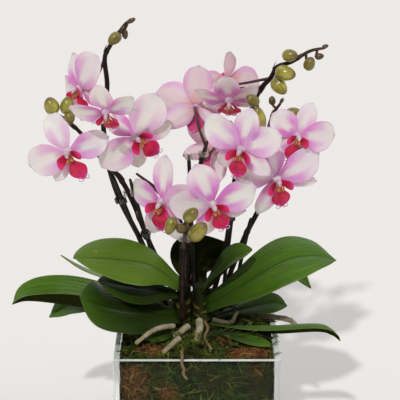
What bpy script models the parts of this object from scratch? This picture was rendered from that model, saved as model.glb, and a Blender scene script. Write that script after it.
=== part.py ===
"""Potted moth orchid: six flower spikes and two crowns of leaves in a square glass vase packed with moss.

Metres, +Z up. The origin is the centre of the vase's underside, and -Y is the side that faces forward.
Every piece is one named object: vase, moss, crowns, leaves, roots, spikes, flowers, stakes and clips.
"""

import math

import bmesh
import bpy
from mathutils import Matrix, Vector

MM = 0.001

# ---- driving dimensions, in millimetres ------------------------------------------------------
VASE_SIDE = 120.0
VASE_HEIGHT = 120.0
VASE_WALL = 4.0
VASE_FLOOR = 8.0
VASE_EDGE_ROUND = 0.8

CLEARANCE = 0.4  # air between pieces that touch or fit into each other
MOSS_BELOW_RIM = 1.5  # moss level along the glass
MOSS_GAP = 0.8  # between the packed moss and the glass, clear of the rounded inner edges
MOSS_MOUND = 5.0  # how much higher the moss stands in the middle

STAKE_RADIUS = 1.4
STAKE_DEPTH = 70.0  # how far a stake is pushed into the moss
CROWN_DEPTH = 9.0  # how far a crown sits down in the moss
SPIKE_RADIUS = 2.0
PEDICEL_RADIUS = 0.9
PEDICEL_STRAIGHT = 3.0  # the stalk's straight end behind a flower
TIP_RADIUS = 0.9
CLIP_HEIGHT = 4.0
CLIP_WALL = 1.0
CLIP_WRAP = 290.0  # degrees of each hook
CLIP_STEPS = 10  # points round each hook

TEPAL_THICKNESS = 0.9
TEPAL_START = 1.4  # from the flower's axis to the start of a tepal, inside the heart
TEPAL_LEVEL = 0.8  # petals stand this far in front of the heart's middle and sepals this far behind
PETAL_LENGTH = 30.0
PETAL_WIDTH = 25.0
SEPAL_LENGTH = 28.0
SEPAL_WIDTH = 17.0
LATERAL_LENGTH = 27.0
LATERAL_WIDTH = 14.5
LIP_LENGTH = 17.5
LIP_WIDTH = 14.0
SIDE_LOBE_LENGTH = 9.0
SIDE_LOBE_WIDTH = 7.0
COLUMN_LENGTH = 6.0
COLUMN_RADIUS = 2.0
HEART_RADIUS = 3.2  # the thick centre that the tepals grow from
HEART_CENTRE = (0, -0.6, 0.6)

LEAF_THICKNESS = 1.3

# ---- flowers: name, place, then turn, nod and roll in degrees, and size ----------------------
# turn is towards +X from straight ahead, nod is down, roll is anticlockwise as seen from its front.
FLOWERS = (
    ("flower_01", (-91, -20, 264), (-8, 2, 32), 1.05),
    ("flower_02", (-62, -41, 299), (-4, 38, 14), 0.86),
    ("flower_03", (-84.5, 14, 301), (-48, -2, 33), 1.0),
    ("flower_04", (-44, -6, 271), (14, 6, 52), 1.02),
    ("flower_05", (-25, -15, 225), (-28, 4, -4), 1.05),
    ("flower_06", (-0.5, 25, 285), (170, -4, 4), 1.02),
    ("flower_07", (22, 45, 300), (150, -10, 22), 0.92),
    ("flower_08", (23, 3, 296), (-4, 44, 4), 0.92),
    ("flower_09", (31, -36, 271), (-20, 4, -4), 1.0),
    ("flower_10", (72, -7.5, 272.5), (10, 2, -18), 0.9),
    ("flower_11", (57, -14, 242), (14, 8, 12), 1.05),
    ("flower_12", (11, -32, 229), (10, 6, 24), 1.0),
    ("flower_13", (14, 40, 249), (160, 0, 30), 0.92),
)

# ---- leaves: name, midrib points, up side near the base and at the tip, half width, fold -----
# fold is how steeply each half rises from the midrib, in degrees.
LEAVES = (
    ("leaf_left_upper", ((-16.5, -5, 160), (-36, -18, 174), (-60, -30, 183), (-87, -42, 190)),
     (0.05, -0.4, 0.9), (-0.1, -0.25, 0.95), 24, 6),
    ("leaf_left_long", ((-18, -3, 126), (-40, 1, 128), (-70, 6, 131), (-104, 8, 134), (-127, 4, 138), (-139, 2, 134)),
     (0, 0, 1), (0.2, -0.1, 1), 21, 58),
    ("leaf_left_lower", ((-17, -9, 134), (-42, -22, 144), (-66, -38, 155), (-83, -46, 163)),
     (0, -0.45, 0.9), (-0.3, -0.5, 0.8), 27, 8),
    ("leaf_left_middle", ((-15, -3, 147), (-42, -14, 157), (-72, -22, 166)),
     (0, -0.3, 0.95), (0, -0.3, 0.95), 19, 10),
    ("leaf_left_back", ((-30, 27, 136), (-60, 34, 142), (-87, 40, 150), (-106, 44, 160)),
     (0, 0.3, 0.95), (0, 0.4, 0.92), 13, 8),
    ("leaf_left_drooping", ((-28, 22, 125), (-75, 27, 126), (-98, 25, 126), (-114, 21, 118)),
     (0, -0.2, 1), (0.3, -0.2, 1), 17, 22),
    ("leaf_left_small", ((-14, -19, 124.5), (-26, -26, 124.5), (-38, -33, 124.5)),
     (0, -0.3, 0.95), (0, -0.2, 1), 8, 10),
    ("leaf_right_upper", ((10.5, -9.5, 144), (36, -15, 159), (64, -19, 178), (86, -20, 185), (98, -20, 183)),
     (-0.3, -0.5, 0.8), (0.1, -0.1, 1), 27, 9),
    ("leaf_right_back", ((22, 26, 140), (50, 28, 151), (70, 25, 151), (85, 21, 139)),
     (0, -0.3, 1), (0.5, -0.4, 0.8), 15, 12),
    ("leaf_right_short", ((15, 0, 128), (40, 2, 134), (57, 4, 137), (68, 4, 135)),
     (-0.2, -0.2, 1), (0.2, -0.2, 1), 14, 14),
    ("leaf_right_long", ((11, -10, 126), (34, -17, 126), (58, -20, 127), (89, -22, 129), (100, -22, 126), (106, -22, 120)),
     (0, 0.2, 1), (0.4, 0.1, 0.9), 11, 30),
    ("leaf_right_low", ((13, -22, 125), (33, -30, 124), (54, -38, 122)),
     (0, -0.2, 1), (0, 0.1, 1), 8, 12),
    ("leaf_centre_curled", ((7, -6.5, 158), (18, -12, 171), (30, -16, 185), (40, -18, 191)),
     (-0.6, -0.2, 0.7), (-0.2, -0.2, 1), 12, 40),
    ("leaf_centre_upright", ((4.5, 9.5, 146), (2, 23, 155), (4, 29, 169), (22, 26, 178)),
     (0.1, 0.9, 0.3), (0.2, 0.75, 0.6), 22, 8),
)

# ---- spikes: name, stem points, side stalks and buds -----------------------------------------
# a stalk is (where along the stem from 0 to 1, flower it carries); a bud is
# (where along the stem, bud centre, direction that it points, length, width). A bud with None shares
# the stalk of the bud before it.
SPIKES = (
    ("spike_1",
     ((-23, 17, 129), (-31, 15, 152), (-41, 12.5, 182), (-58, 12.5, 219), (-66, 13, 250), (-68, 16, 278),
      (-65, 20, 301), (-66, 16, 322), (-62, 12, 332), (-56, 10, 341), (-50, 10, 349), (-44, 8, 353)),
     ((0.52, "flower_04"), (0.45, "flower_02"), (0.66, "flower_03")),
     ((0.84, (-58, 6, 339), (-0.6, -0.3, -0.5), 10, 8), (0.93, (-51, 12, 341), (0.1, 0.1, -1), 7, 4.5),
      (0.99, (-46, 8, 351.5), (0.8, -0.1, 0.4), 6, 3.4))),
    ("spike_2",
     ((-14, 9.5, 132), (-23, 11, 155), (-35, 11, 182), (-47, 10, 215), (-56, 4, 236), (-68, 3, 250),
      (-80, 4, 266), (-91, 4, 278), (-98, 2, 284)),
     ((0.72, "flower_01"),),
     ((0.97, (-103, -5, 293), (-0.3, -0.2, 1), 12, 10.5), (0.9, (-92, -4, 293), (0.2, 0, 1), 12, 9.5),
      (0.86, (-90, -8, 285), (0.2, -0.4, -0.7), 8, 7.5))),
    ("spike_3",
     ((-10.5, -12.5, 131), (-11, -14, 157), (-10.5, -14, 181), (-9.5, -12, 196), (-12, -7, 206), (-20, 0, 217),
      (-30, 2, 229), (-44, 3, 240)),
     ((0.72, "flower_05"), (0.5, "flower_12")),
     ((0.46, (1, -51, 215), (0.6, -0.4, 0.8), 17, 11), (None, (-4, -50, 227), (0.5, -0.2, 0.6), 12, 9),
      (None, (-11, -52, 218), (-0.2, -0.6, 0.4), 8, 7), (None, (-18, -50, 219), (-0.3, -0.2, -0.8), 12, 8))),
    ("spike_4",
     ((-6, 9.5, 131), (-7, 12, 157), (-6, 15, 195), (2, 15, 240), (5, 15, 252), (8, 14, 262)),
     ((0.9, "flower_06"), (0.62, "flower_13")),
     ((0.99, (9.5, 13, 266), (0.3, -0.2, 1), 7, 4.5),)),
    ("spike_5",
     ((16, 13, 131), (34, 14, 182), (45, 12, 207), (54, 12, 226), (57, 12, 248), (52, 10, 268),
      (55, 8, 283), (60, 6, 292)),
     ((0.5, "flower_11"), (0.62, "flower_10")),
     ((0.72, (39, -16, 300), (-0.7, -0.2, 0.6), 10, 8), (0.78, (44, -14, 286), (-0.1, -0.3, 1), 19, 11),
      (0.88, (69, 4, 285), (0.9, -0.2, 0.3), 11, 8.5), (0.93, (54, 6, 294), (-0.1, 0, 1), 6, 5),
      (0.99, (61, 6, 294), (0.5, 0, 0.9), 4, 2.6))),
    ("spike_6",
     ((10, 15, 131), (22, 16, 180), (28, 15, 231), (34, 19, 249), (39, 24, 277), (45, 20, 297),
      (53, 16, 308), (58, 14, 317), (68, 12, 321), (80, 10, 329), (91, 8, 332)),
     ((0.34, "flower_09"), (0.5, "flower_08"), (0.6, "flower_07")),
     ((0.8, (66, 6, 327), (0.6, -0.3, 0.1), 10.5, 8.5), (0.88, (80, 6, 321), (0.3, -0.2, 0.9), 9.5, 8),
      (0.95, (87, 7, 326), (0.5, -0.1, 0.1), 6, 4.6), (0.76, (63, 4, 314.5), (0.7, -0.3, -0.1), 14, 10.5),
      (0.72, (59, 8, 304), (0.5, -0.3, -0.5), 13, 10), (0.99, (91, 8, 333), (0.8, 0, 0.3), 4.5, 3))),
)

# ---- stakes: name, where it enters the moss, top end -----------------------------------------
STAKES = (
    ("stake_1", (-17, 12.5, 115), (-62.5, 6, 240)),
    ("stake_2", (-20, 6, 123), (-49, 4.5, 236)),
    ("stake_3", (-1, 8, 121), (-6, 9, 253)),
    ("stake_4", (17, 8, 119), (29, 8, 234)),
    ("stake_5", (24, 12.5, 123), (40, 6, 205)),
)

# ---- clips: name, the stake and the spike that it ties together, how far up the stake ---------
# a clip with no stake has come off its own and hangs on the spike, so far up the spike.
CLIPS = (
    ("clip_1", "stake_1", "spike_1", 0.82),
    ("clip_2", "stake_2", "spike_2", 0.9),
    ("clip_3", "stake_2", "spike_2", 0.60),
    ("clip_4", "stake_3", "spike_4", 0.985),
    ("clip_5", None, "spike_3", 0.42),
    ("clip_6", "stake_4", "spike_6", 0.74),
)

# ---- roots: name, points, radius ------------------------------------------------------------
ROOTS = (
    ("root_left", ((-17, -20, 129), (-28, -28, 130), (-36, -34, 129.5), (-44, -38, 124.5)), 1.8),
    ("root_stub", ((-6.5, -17, 128.5), (-8.5, -23, 126.5), (-10, -29, 125)), 2.3),
    ("root_front_left", ((-11, -32, 125), (-16, -36, 125), (-23, -42, 124)), 2.0),
    ("root_front", ((2, -11, 131), (2, -17, 129), (1, -24, 127), (0, -31, 124.5)), 2.5),
    ("root_brown", ((6, -10, 129.5), (8, -18, 127), (8, -28, 125), (9, -38, 123)), 1.2),
    ("root_right_loop", ((12.5, -6, 131.5), (19, -9, 131.5), (26, -10.5, 132), (30, -9, 140)), 1.5),
    ("root_right_long", ((30, 18, 129), (42, 17, 127), (60, 14, 126), (71, 10, 125), (76, 8, 120)), 2.0),
    ("root_over_rim", ((-11, -50, 123), (-10.5, -58, 122.7), (-10, -62.7, 119), (-9, -62.7, 112), (-8, -62.7, 107)), 1.1),
)

# ---- crowns: name, centre, top, radius at the moss, radius at the top ------------------------
CROWNS = (
    ("crown_left", (-10, 0), 165, 6.0, 3.6),
    ("crown_right", (3.5, 0), 166, 6.6, 3.6),
)


# ---- scene, materials and small helpers -------------------------------------------------------
def clear_scene():
    for obj in list(bpy.data.objects):
        bpy.data.objects.remove(obj)


def new_collection(name):
    collection = bpy.data.collections.new(name)
    bpy.context.scene.collection.children.link(collection)
    return collection


def material(name, colour, roughness, metallic=0.0):
    made = bpy.data.materials.new(name)
    made.use_nodes = True
    shader = made.node_tree.nodes["Principled BSDF"]
    shader.inputs["Base Color"].default_value = (*colour, 1.0)
    shader.inputs["Roughness"].default_value = roughness
    shader.inputs["Metallic"].default_value = metallic
    made.diffuse_color = (*colour, 1.0)
    return made


def link(obj, collection, finish):
    collection.objects.link(obj)
    obj.data.materials.clear()
    obj.data.materials.append(finish)
    return obj


def as_cutter(obj):
    """A cutter or a shape that another object takes in: it isn't a part of its own."""
    obj.hide_render = True
    obj.display_type = "WIRE"
    return obj


def boolean(obj, other, operation):
    modifier = obj.modifiers.new(operation.lower(), "BOOLEAN")
    modifier.operation = operation
    modifier.object = other
    modifier.solver = "EXACT"
    modifier.use_self = operation == "UNION"
    as_cutter(other)
    return modifier


def baked_mesh(obj):
    """The object's evaluated mesh, in world space."""
    bpy.context.view_layer.update()
    graph = bpy.context.evaluated_depsgraph_get()
    mesh = bpy.data.meshes.new_from_object(obj.evaluated_get(graph))
    mesh.transform(obj.matrix_world)
    return mesh


def weld(mesh):
    bm = bmesh.new()
    bm.from_mesh(mesh)
    bmesh.ops.remove_doubles(bm, verts=bm.verts, dist=0.00001)
    bm.to_mesh(mesh)
    bm.free()


def shade(mesh, angle=50):
    mesh.shade_smooth()
    mesh.set_sharp_from_angle(angle=math.radians(angle))


def spline_point(points, t):
    """A point at t from 0 to 1 along a smooth curve through all the points."""
    place = t * (len(points) - 1)
    i = min(int(place), len(points) - 2)
    f = place - i
    b, c = Vector(points[i]), Vector(points[i + 1])
    a = Vector(points[i - 1]) if i > 0 else b * 2 - c
    d = Vector(points[i + 2]) if i + 2 < len(points) else c * 2 - b
    return 0.5 * ((2 * b) + (c - a) * f + (2 * a - 5 * b + 4 * c - d) * f * f + (3 * b - a - 3 * c + d) * f**3)


def spline(points, count):
    return [spline_point(points, i / (count - 1)) for i in range(count)]


def spline_direction(points, t):
    step = 0.01
    ahead = spline_point(points, min(1.0, t + step))
    behind = spline_point(points, max(0.0, t - step))
    return (ahead - behind).normalized()


def tube(name, points, radii, sides=6):
    """A closed round rod along points in millimetres, with a radius at each point."""
    curve = bpy.data.curves.new(name, "CURVE")
    curve.dimensions = "3D"
    curve.bevel_depth = MM
    curve.bevel_resolution = max(0, sides // 2 - 2)
    curve.use_fill_caps = True
    line = curve.splines.new("POLY")
    line.points.add(len(points) - 1)
    for knot, place, radius in zip(line.points, points, radii):
        knot.co = (*(Vector(place) * MM), 1.0)
        knot.radius = radius
    obj = bpy.data.objects.new(name, curve)
    bpy.context.scene.collection.objects.link(obj)
    mesh = baked_mesh(obj)
    bpy.data.objects.remove(obj)
    weld(mesh)
    shade(mesh)
    return bpy.data.objects.new(name, mesh)


def ball(name, centre, direction, length, width, segments=8, rings=5):
    """An egg-shaped solid that points along direction."""
    bm = bmesh.new()
    bmesh.ops.create_uvsphere(bm, u_segments=segments, v_segments=rings, radius=0.5)
    turn = Vector(direction).to_track_quat("Z", "Y").to_matrix().to_4x4()
    size = Matrix.Diagonal((width, width, length, 1))
    bmesh.ops.transform(bm, matrix=Matrix.Scale(MM, 4) @ Matrix.Translation(centre) @ turn @ size, verts=bm.verts)
    mesh = bpy.data.meshes.new(name)
    bm.to_mesh(mesh)
    bm.free()
    shade(mesh)
    return bpy.data.objects.new(name, mesh)


def solidified_grid(name, across, along, place, thickness):
    """A grid whose points go where place(v from -1 to 1, u from 0 to 1) says, thickened to a closed shell."""
    bm = bmesh.new()
    bmesh.ops.create_grid(bm, x_segments=across, y_segments=along, size=1.0)
    for vertex in bm.verts:
        vertex.co = place(vertex.co.x, (vertex.co.y + 1) / 2) * MM
    mesh = bpy.data.meshes.new(name)
    bm.to_mesh(mesh)
    bm.free()
    obj = bpy.data.objects.new(name, mesh)
    shell = obj.modifiers.new("thickness", "SOLIDIFY")
    shell.thickness = thickness * MM
    shell.offset = 0
    shell.use_even_offset = False
    return obj


# ---- vase and moss -----------------------------------------------------------------------------
def box(name, size, centre):
    bm = bmesh.new()
    bmesh.ops.create_cube(bm, size=1.0)
    placed = Matrix.Translation(Vector(centre) * MM) @ Matrix.Diagonal((*(Vector(size) * MM), 1))
    bmesh.ops.transform(bm, matrix=placed, verts=bm.verts)
    mesh = bpy.data.meshes.new(name)
    bm.to_mesh(mesh)
    bm.free()
    return bpy.data.objects.new(name, mesh)


def make_vase(parts, cutters, finish):
    vase = link(box("glass_vase", (VASE_SIDE, VASE_SIDE, VASE_HEIGHT), (0, 0, VASE_HEIGHT / 2)), parts, finish)
    inside = VASE_SIDE - 2 * VASE_WALL
    depth = VASE_HEIGHT - VASE_FLOOR
    above = 20.0
    hollow = box("vase_hollow", (inside, inside, depth + above), (0, 0, VASE_FLOOR + (depth + above) / 2))
    link(hollow, cutters, finish)
    boolean(vase, hollow, "DIFFERENCE")
    rounding = vase.modifiers.new("edges", "BEVEL")
    rounding.width = VASE_EDGE_ROUND * MM
    rounding.segments = 1


def moss_height(x, y):
    """The moss surface above the vase's underside: level at the glass and mounded in the middle."""
    half = VASE_SIDE / 2 - VASE_WALL
    rise = max(0.0, 1 - (abs(x) / half) ** 2) * max(0.0, 1 - (abs(y) / half) ** 2)
    return VASE_HEIGHT - MOSS_BELOW_RIM + MOSS_MOUND * rise


def make_moss(parts, cutters, finish, sockets):
    """One packed block that fills the vase, with a socket for each crown and stake."""
    side = VASE_SIDE - 2 * VASE_WALL - 2 * MOSS_GAP
    bottom = VASE_FLOOR + MOSS_GAP
    bm = bmesh.new()
    bmesh.ops.create_grid(bm, x_segments=10, y_segments=10, size=side / 2)
    for vertex in bm.verts:
        vertex.co.z = moss_height(vertex.co.x, vertex.co.y)
    top = list(bm.verts)
    rim = [edge for edge in bm.edges if edge.is_boundary]
    walls = bmesh.ops.extrude_edge_only(bm, edges=rim)["geom"]
    floor_edges = [item for item in walls if isinstance(item, bmesh.types.BMEdge) and item.is_boundary]
    for vertex in bm.verts:
        if vertex not in top:
            vertex.co.z = bottom
    bmesh.ops.contextual_create(bm, geom=floor_edges)
    bmesh.ops.recalc_face_normals(bm, faces=bm.faces)
    bmesh.ops.scale(bm, vec=(MM, MM, MM), verts=bm.verts)
    mesh = bpy.data.meshes.new("moss")
    bm.to_mesh(mesh)
    bm.free()
    moss = link(bpy.data.objects.new("moss", mesh), parts, finish)
    for socket in sockets:
        link(socket, cutters, finish)
        boolean(moss, socket, "DIFFERENCE")


# ---- crowns, stakes, clips and roots -----------------------------------------------------------
def crown_profile(centre, top, low_radius, high_radius, extra=0.0):
    x, y = centre
    base = moss_height(x, y)
    points = [(x, y, base - CROWN_DEPTH - extra), (x, y, base), (x, y, (base + top) / 2), (x, y, top)]
    radii = [low_radius * 0.8 + extra, low_radius + extra, low_radius * 0.9 + extra, high_radius + extra]
    return points, radii


def make_crowns(parts, finish):
    sockets = []
    for name, centre, top, low_radius, high_radius in CROWNS:
        points, radii = crown_profile(centre, top, low_radius, high_radius)
        link(tube(name, points, radii, sides=10), parts, finish)
        points, radii = crown_profile(centre, top, low_radius, high_radius, CLEARANCE)
        sockets.append(tube(name + "_socket", points, radii, sides=10))
    return sockets


def stake_line(foot, head):
    """The stake from its buried end to its head."""
    direction = (Vector(head) - Vector(foot)).normalized()
    return Vector(foot) - direction * STAKE_DEPTH, Vector(head), direction


def make_stakes(parts, finish):
    sockets = []
    for name, foot, head in STAKES:
        start, end, direction = stake_line(foot, head)
        link(tube(name, (start, end), (STAKE_RADIUS,) * 2, sides=8), parts, finish)
        bore = STAKE_RADIUS + CLEARANCE
        deep = start - direction * CLEARANCE
        above = Vector(foot) + direction * 20
        sockets.append(tube(name + "_socket", (deep, above), (bore,) * 2, sides=8))
    return sockets


def clip_path(reach, stake_ring, spike_ring):
    """The S that a clip follows in its own plane: round the spike, straight across, round the stake."""
    cross = math.acos(min(1.0, (stake_ring + spike_ring) / reach))
    wrap = math.radians(CLIP_WRAP)
    turns = [i / (CLIP_STEPS - 1) for i in range(CLIP_STEPS)]
    spike_side = [(math.pi + cross + wrap * (1 - turn), reach, spike_ring) for turn in turns]
    stake_side = [(cross + wrap * turn, 0.0, stake_ring) for turn in turns]
    return [(middle + ring * math.cos(a), ring * math.sin(a)) for a, middle, ring in spike_side + stake_side]


def make_clips(parts, finishes):
    """Springy strips that each hook round a stake and round the spike beside it."""
    lines = {name: stake_line(foot, head) for name, foot, head in STAKES}
    stems = {name: stem for name, stem, _, _ in SPIKES}
    stake_ring = STAKE_RADIUS + CLEARANCE + CLIP_WALL / 2
    spike_ring = SPIKE_RADIUS + 2 * CLEARANCE + CLIP_WALL / 2
    for (name, stake, spike, share), finish in zip(CLIPS, finishes):
        stem = spline(stems[spike], 200)
        if stake:
            start, end, direction = lines[stake]
            middle = (start + direction * STAKE_DEPTH).lerp(end, share)
        else:
            direction = spline_direction(stems[spike], share)
            middle = spline_point(stems[spike], share) + Vector((stake_ring + spike_ring, 0, 0))
        nearest = min(stem, key=lambda point: abs((point - middle).dot(direction)))
        arm = nearest - middle
        arm -= direction * arm.dot(direction)
        other = direction.cross(arm.normalized())
        path = clip_path(max(arm.length, stake_ring + spike_ring), stake_ring, spike_ring)

        def place(v, u):
            x, y = path[round(u * (len(path) - 1))]
            return middle + arm.normalized() * x + other * y + direction * (v * CLIP_HEIGHT / 2)

        link(solidified_grid(name, 1, len(path) - 1, place, CLIP_WALL), parts, finish)


def make_roots(parts, finish):
    for name, points, radius in ROOTS:
        path = spline(points, 8)
        radii = [radius * (1.0 - 0.25 * i / 7) for i in range(8)]
        link(tube(name, path, radii, sides=6), parts, finish)


# ---- leaves ------------------------------------------------------------------------------------
def leaf_width(u):
    """Share of the half width at u along the midrib: narrow sheath, broad blade, blunt pointed tip."""
    base = 0.3
    widest = 0.55
    if u < widest:
        s = u / widest
        return base + (1 - base) * s * s * (3 - 2 * s)
    s = (u - widest) / (1 - widest)
    return max(0.06, (1 - s**2.6) ** 0.62)


def leaf_place(midrib, up_base, up_tip, half_width, fold):
    def place(v, u):
        centre = spline_point(midrib, u)
        along = spline_direction(midrib, u)
        up = Vector(up_base).lerp(Vector(up_tip), u)
        side = along.cross(up).normalized()
        up = side.cross(along).normalized()
        reach = half_width * leaf_width(u)
        rise = math.radians(fold * (1 - 0.5 * u))
        lift = abs(v) * math.sin(rise) - 0.12 * v * v
        return centre + side * (v * reach * math.cos(rise)) + up * (reach * lift)

    return place


def make_leaves(parts, finish):
    for name, midrib, up_base, up_tip, half_width, fold in LEAVES:
        place = leaf_place(midrib, up_base, up_tip, half_width, fold)
        leaf = link(solidified_grid(name, 4, 9, place, LEAF_THICKNESS), parts, finish)
        shade(leaf.data)


# ---- flowers -----------------------------------------------------------------------------------
def tepal_width(u, claw, widest):
    """Share of the half width at u: a narrow claw, the widest point, then a round end."""
    if u < widest:
        s = u / widest
        return claw + (1 - claw) * math.sin(s * math.pi / 2) ** 0.9
    s = (u - widest) / (1 - widest)
    return max(0.16, math.sqrt(max(0.0, 1 - s**2.3)))


def tepal(name, angle, length, width, claw, widest, lean, bend, cup, level, along=4):
    """One tepal of a flower that faces +Z: angle is clockwise from +Y, lean and bend are towards the back."""
    outwards = Vector((math.sin(angle), math.cos(angle), 0))
    sideways = Vector((math.cos(angle), -math.sin(angle), 0))
    front = Vector((0, 0, 1))

    def place(v, u):
        tilt = lean + bend * u / 2
        run = TEPAL_START + length * u * (1 - 0.05 * v * v * u**3)
        reach = width / 2 * tepal_width(u, claw, widest) * v
        height = level - run * math.sin(tilt) + cup * reach * reach / width
        return outwards * (run * math.cos(tilt)) + sideways * reach + front * height

    return solidified_grid(name, 2, along, place, TEPAL_THICKNESS)


def lip_lobe(name):
    """The lip's middle lobe: out and down from the heart, broad in the middle, with a narrow tip."""

    def place(v, u):
        s = min(1.0, u / 0.45)
        share = 0.2 + 0.8 * s if u < 0.45 else max(0.14, 1 - ((u - 0.45) / 0.55) ** 1.3)
        reach = LIP_WIDTH / 2 * share * v
        down = -3.0 - LIP_LENGTH * math.sin(0.75 + 0.75 * u) * u
        out = 2.0 + LIP_LENGTH * 0.8 * math.cos(0.55 + 1.1 * u) * u
        return Vector((reach, down, out - 0.1 * reach * reach * (1 - u)))

    return solidified_grid(name, 2, 4, place, TEPAL_THICKNESS)


def side_lobe(name, side):
    """One of the lip's two upright side lobes."""

    def place(v, u):
        share = 0.5 + 0.5 * math.sin(u * math.pi * 0.75)
        reach = SIDE_LOBE_WIDTH / 2 * share * v
        away = 1.4 + SIDE_LOBE_LENGTH * 0.72 * u
        out = 1.8 + SIDE_LOBE_LENGTH * 0.6 * u - reach * 0.3
        return Vector((side * away, -1.8 + reach * 0.9 - 4.5 * u, out + 1.2 * u * u))

    return solidified_grid(name, 2, 2, place, TEPAL_THICKNESS)


def flower_mesh(cutters, finish):
    """One open flower as a single solid that faces +Z, with its dorsal sepal along +Y."""
    heart = ball("flower_heart", HEART_CENTRE, (0.1, 0.06, 1), 2 * HEART_RADIUS, 2.3 * HEART_RADIUS, segments=6, rings=4)
    link(as_cutter(heart), cutters, finish)
    petal_angle = math.radians(76)
    lateral_angle = math.radians(135)
    pieces = [tepal("dorsal", 0, SEPAL_LENGTH, SEPAL_WIDTH, 0.2, 0.5, 0.10, 0.14, 0.25, -TEPAL_LEVEL)]
    for side in (-1, 1):
        pieces.append(tepal(f"petal{side}", side * petal_angle, PETAL_LENGTH, PETAL_WIDTH, 0.12, 0.56, 0.0, 0.2, 0.3,
                            TEPAL_LEVEL, along=5))
        pieces.append(
            tepal(f"lateral{side}", side * lateral_angle, LATERAL_LENGTH, LATERAL_WIDTH, 0.2, 0.45, 0.12, 0.14, 0.25,
                  -TEPAL_LEVEL)
        )
    pieces.append(lip_lobe("lip"))
    pieces += [side_lobe(f"side_lobe{side}", side) for side in (-1, 1)]
    nose = (0.1, -0.9, 0.6 + COLUMN_LENGTH * 0.75)
    pieces.append(ball("column", nose, (0.04, -0.25, 1), COLUMN_LENGTH, 2 * COLUMN_RADIUS, segments=6, rings=3))
    for piece in pieces:
        link(piece, cutters, finish)
        boolean(heart, piece, "UNION")
    mesh = baked_mesh(heart)
    shade(mesh, 40)
    return mesh


def facing(turn, nod, roll):
    """The rotation of a flower that turns towards +X, nods down and rolls anticlockwise."""
    t, n, r = (math.radians(angle) for angle in (turn, nod, roll))
    front = Vector((math.sin(t) * math.cos(n), -math.cos(t) * math.cos(n), -math.sin(n)))
    up = Vector((math.sin(t) * math.sin(n), -math.cos(t) * math.sin(n), math.cos(n)))
    right = up.cross(front)
    rolled_up = up * math.cos(r) - right * math.sin(r)
    rolled_right = right * math.cos(r) + up * math.sin(r)
    return Matrix((rolled_right, rolled_up, front)).transposed()


def make_flowers(parts, mesh, finish):
    for name, centre, angles, size in FLOWERS:
        flower = link(bpy.data.objects.new(name, mesh), parts, finish)
        flower.location = Vector(centre) * MM
        flower.rotation_euler = facing(*angles).to_euler()
        flower.scale = (size,) * 3


# ---- spikes ------------------------------------------------------------------------------------
def make_spikes(parts, cutters, finish):
    """Each spike is one grown piece: stem, the stalks that carry its flowers, and its buds."""
    flowers = {name: (Vector(centre), facing(*angles), size) for name, centre, angles, size in FLOWERS}
    for name, stem, stalks, buds in SPIKES:
        count = 2 * len(stem)
        radii = [SPIKE_RADIUS + (TIP_RADIUS - SPIKE_RADIUS) * (i / (count - 1)) ** 1.5 for i in range(count)]
        spike = link(tube(name, spline(stem, count), radii, sides=6), parts, finish)
        extras = []
        for share, flower in stalks:
            centre, turn, size = flowers[flower]
            front = turn @ Vector((0, 0, 1))
            end = centre + turn @ Vector(HEART_CENTRE) * size - front * (HEART_RADIUS * size + CLEARANCE)
            behind = end - front * PEDICEL_STRAIGHT
            root = spline_point(stem, share)
            elbow = behind.lerp(root, 0.4) - front * 0.15 * (root - behind).length
            path = spline((root, elbow, behind), 4) + [end]
            extras.append(tube(f"{name}_{flower}_stalk", path, (PEDICEL_RADIUS,) * 5, sides=4))
        low = Vector()
        for number, (share, centre, direction, length, width) in enumerate(buds):
            root = low if share is None else spline_point(stem, share)
            low = Vector(centre) - Vector(direction).normalized() * length * 0.35
            extras.append(tube(f"{name}_bud_stalk_{number}", (root, low), (PEDICEL_RADIUS,) * 2, sides=4))
            extras.append(ball(f"{name}_bud_{number}", centre, direction, length, width, segments=6, rings=5))
        for extra in extras:
            link(extra, cutters, finish)
            boolean(spike, extra, "UNION")


def main():
    clear_scene()
    parts = new_collection("potted_orchid")
    cutters = new_collection("potted_orchid_cutters")
    glass = material("clear_glass", (0.80, 0.88, 0.86), 0.05)
    moss = material("moss", (0.13, 0.17, 0.05), 0.95)
    leaf = material("leaf_green", (0.10, 0.22, 0.03), 0.35)
    crown = material("crown_green", (0.30, 0.33, 0.10), 0.5)
    root = material("root_silver", (0.55, 0.52, 0.42), 0.8)
    stem = material("stem_brown", (0.10, 0.05, 0.04), 0.45)
    petal = material("petal_pink", (0.80, 0.55, 0.70), 0.5)
    stake = material("stake_black", (0.02, 0.02, 0.02), 0.4)
    clear_clip = material("clip_clear", (0.85, 0.80, 0.78), 0.2)
    make_vase(parts, cutters, glass)
    sockets = make_crowns(parts, crown) + make_stakes(parts, stake)
    make_moss(parts, cutters, moss, sockets)
    make_clips(parts, (stake, clear_clip, stake, clear_clip, clear_clip, stake))
    make_roots(parts, root)
    make_leaves(parts, leaf)
    make_flowers(parts, flower_mesh(cutters, petal), petal)
    make_spikes(parts, cutters, stem)


main()
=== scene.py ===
# %% [markdown]
# # A potted moth orchid
# Six flower spikes grow from two crowns of leaves, in moss packed into a square glass vase. The packed
# model of the plant is the frame: it says where every flower, leaf and stem sits. This lesson builds the
# fine version of each piece over it. Lengths are in millimetres until a mesh is made.

# %% Load the frame
import math
import random

import bmesh
import bpy
import numpy as np
from mathutils import Matrix, Vector, noise


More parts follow.
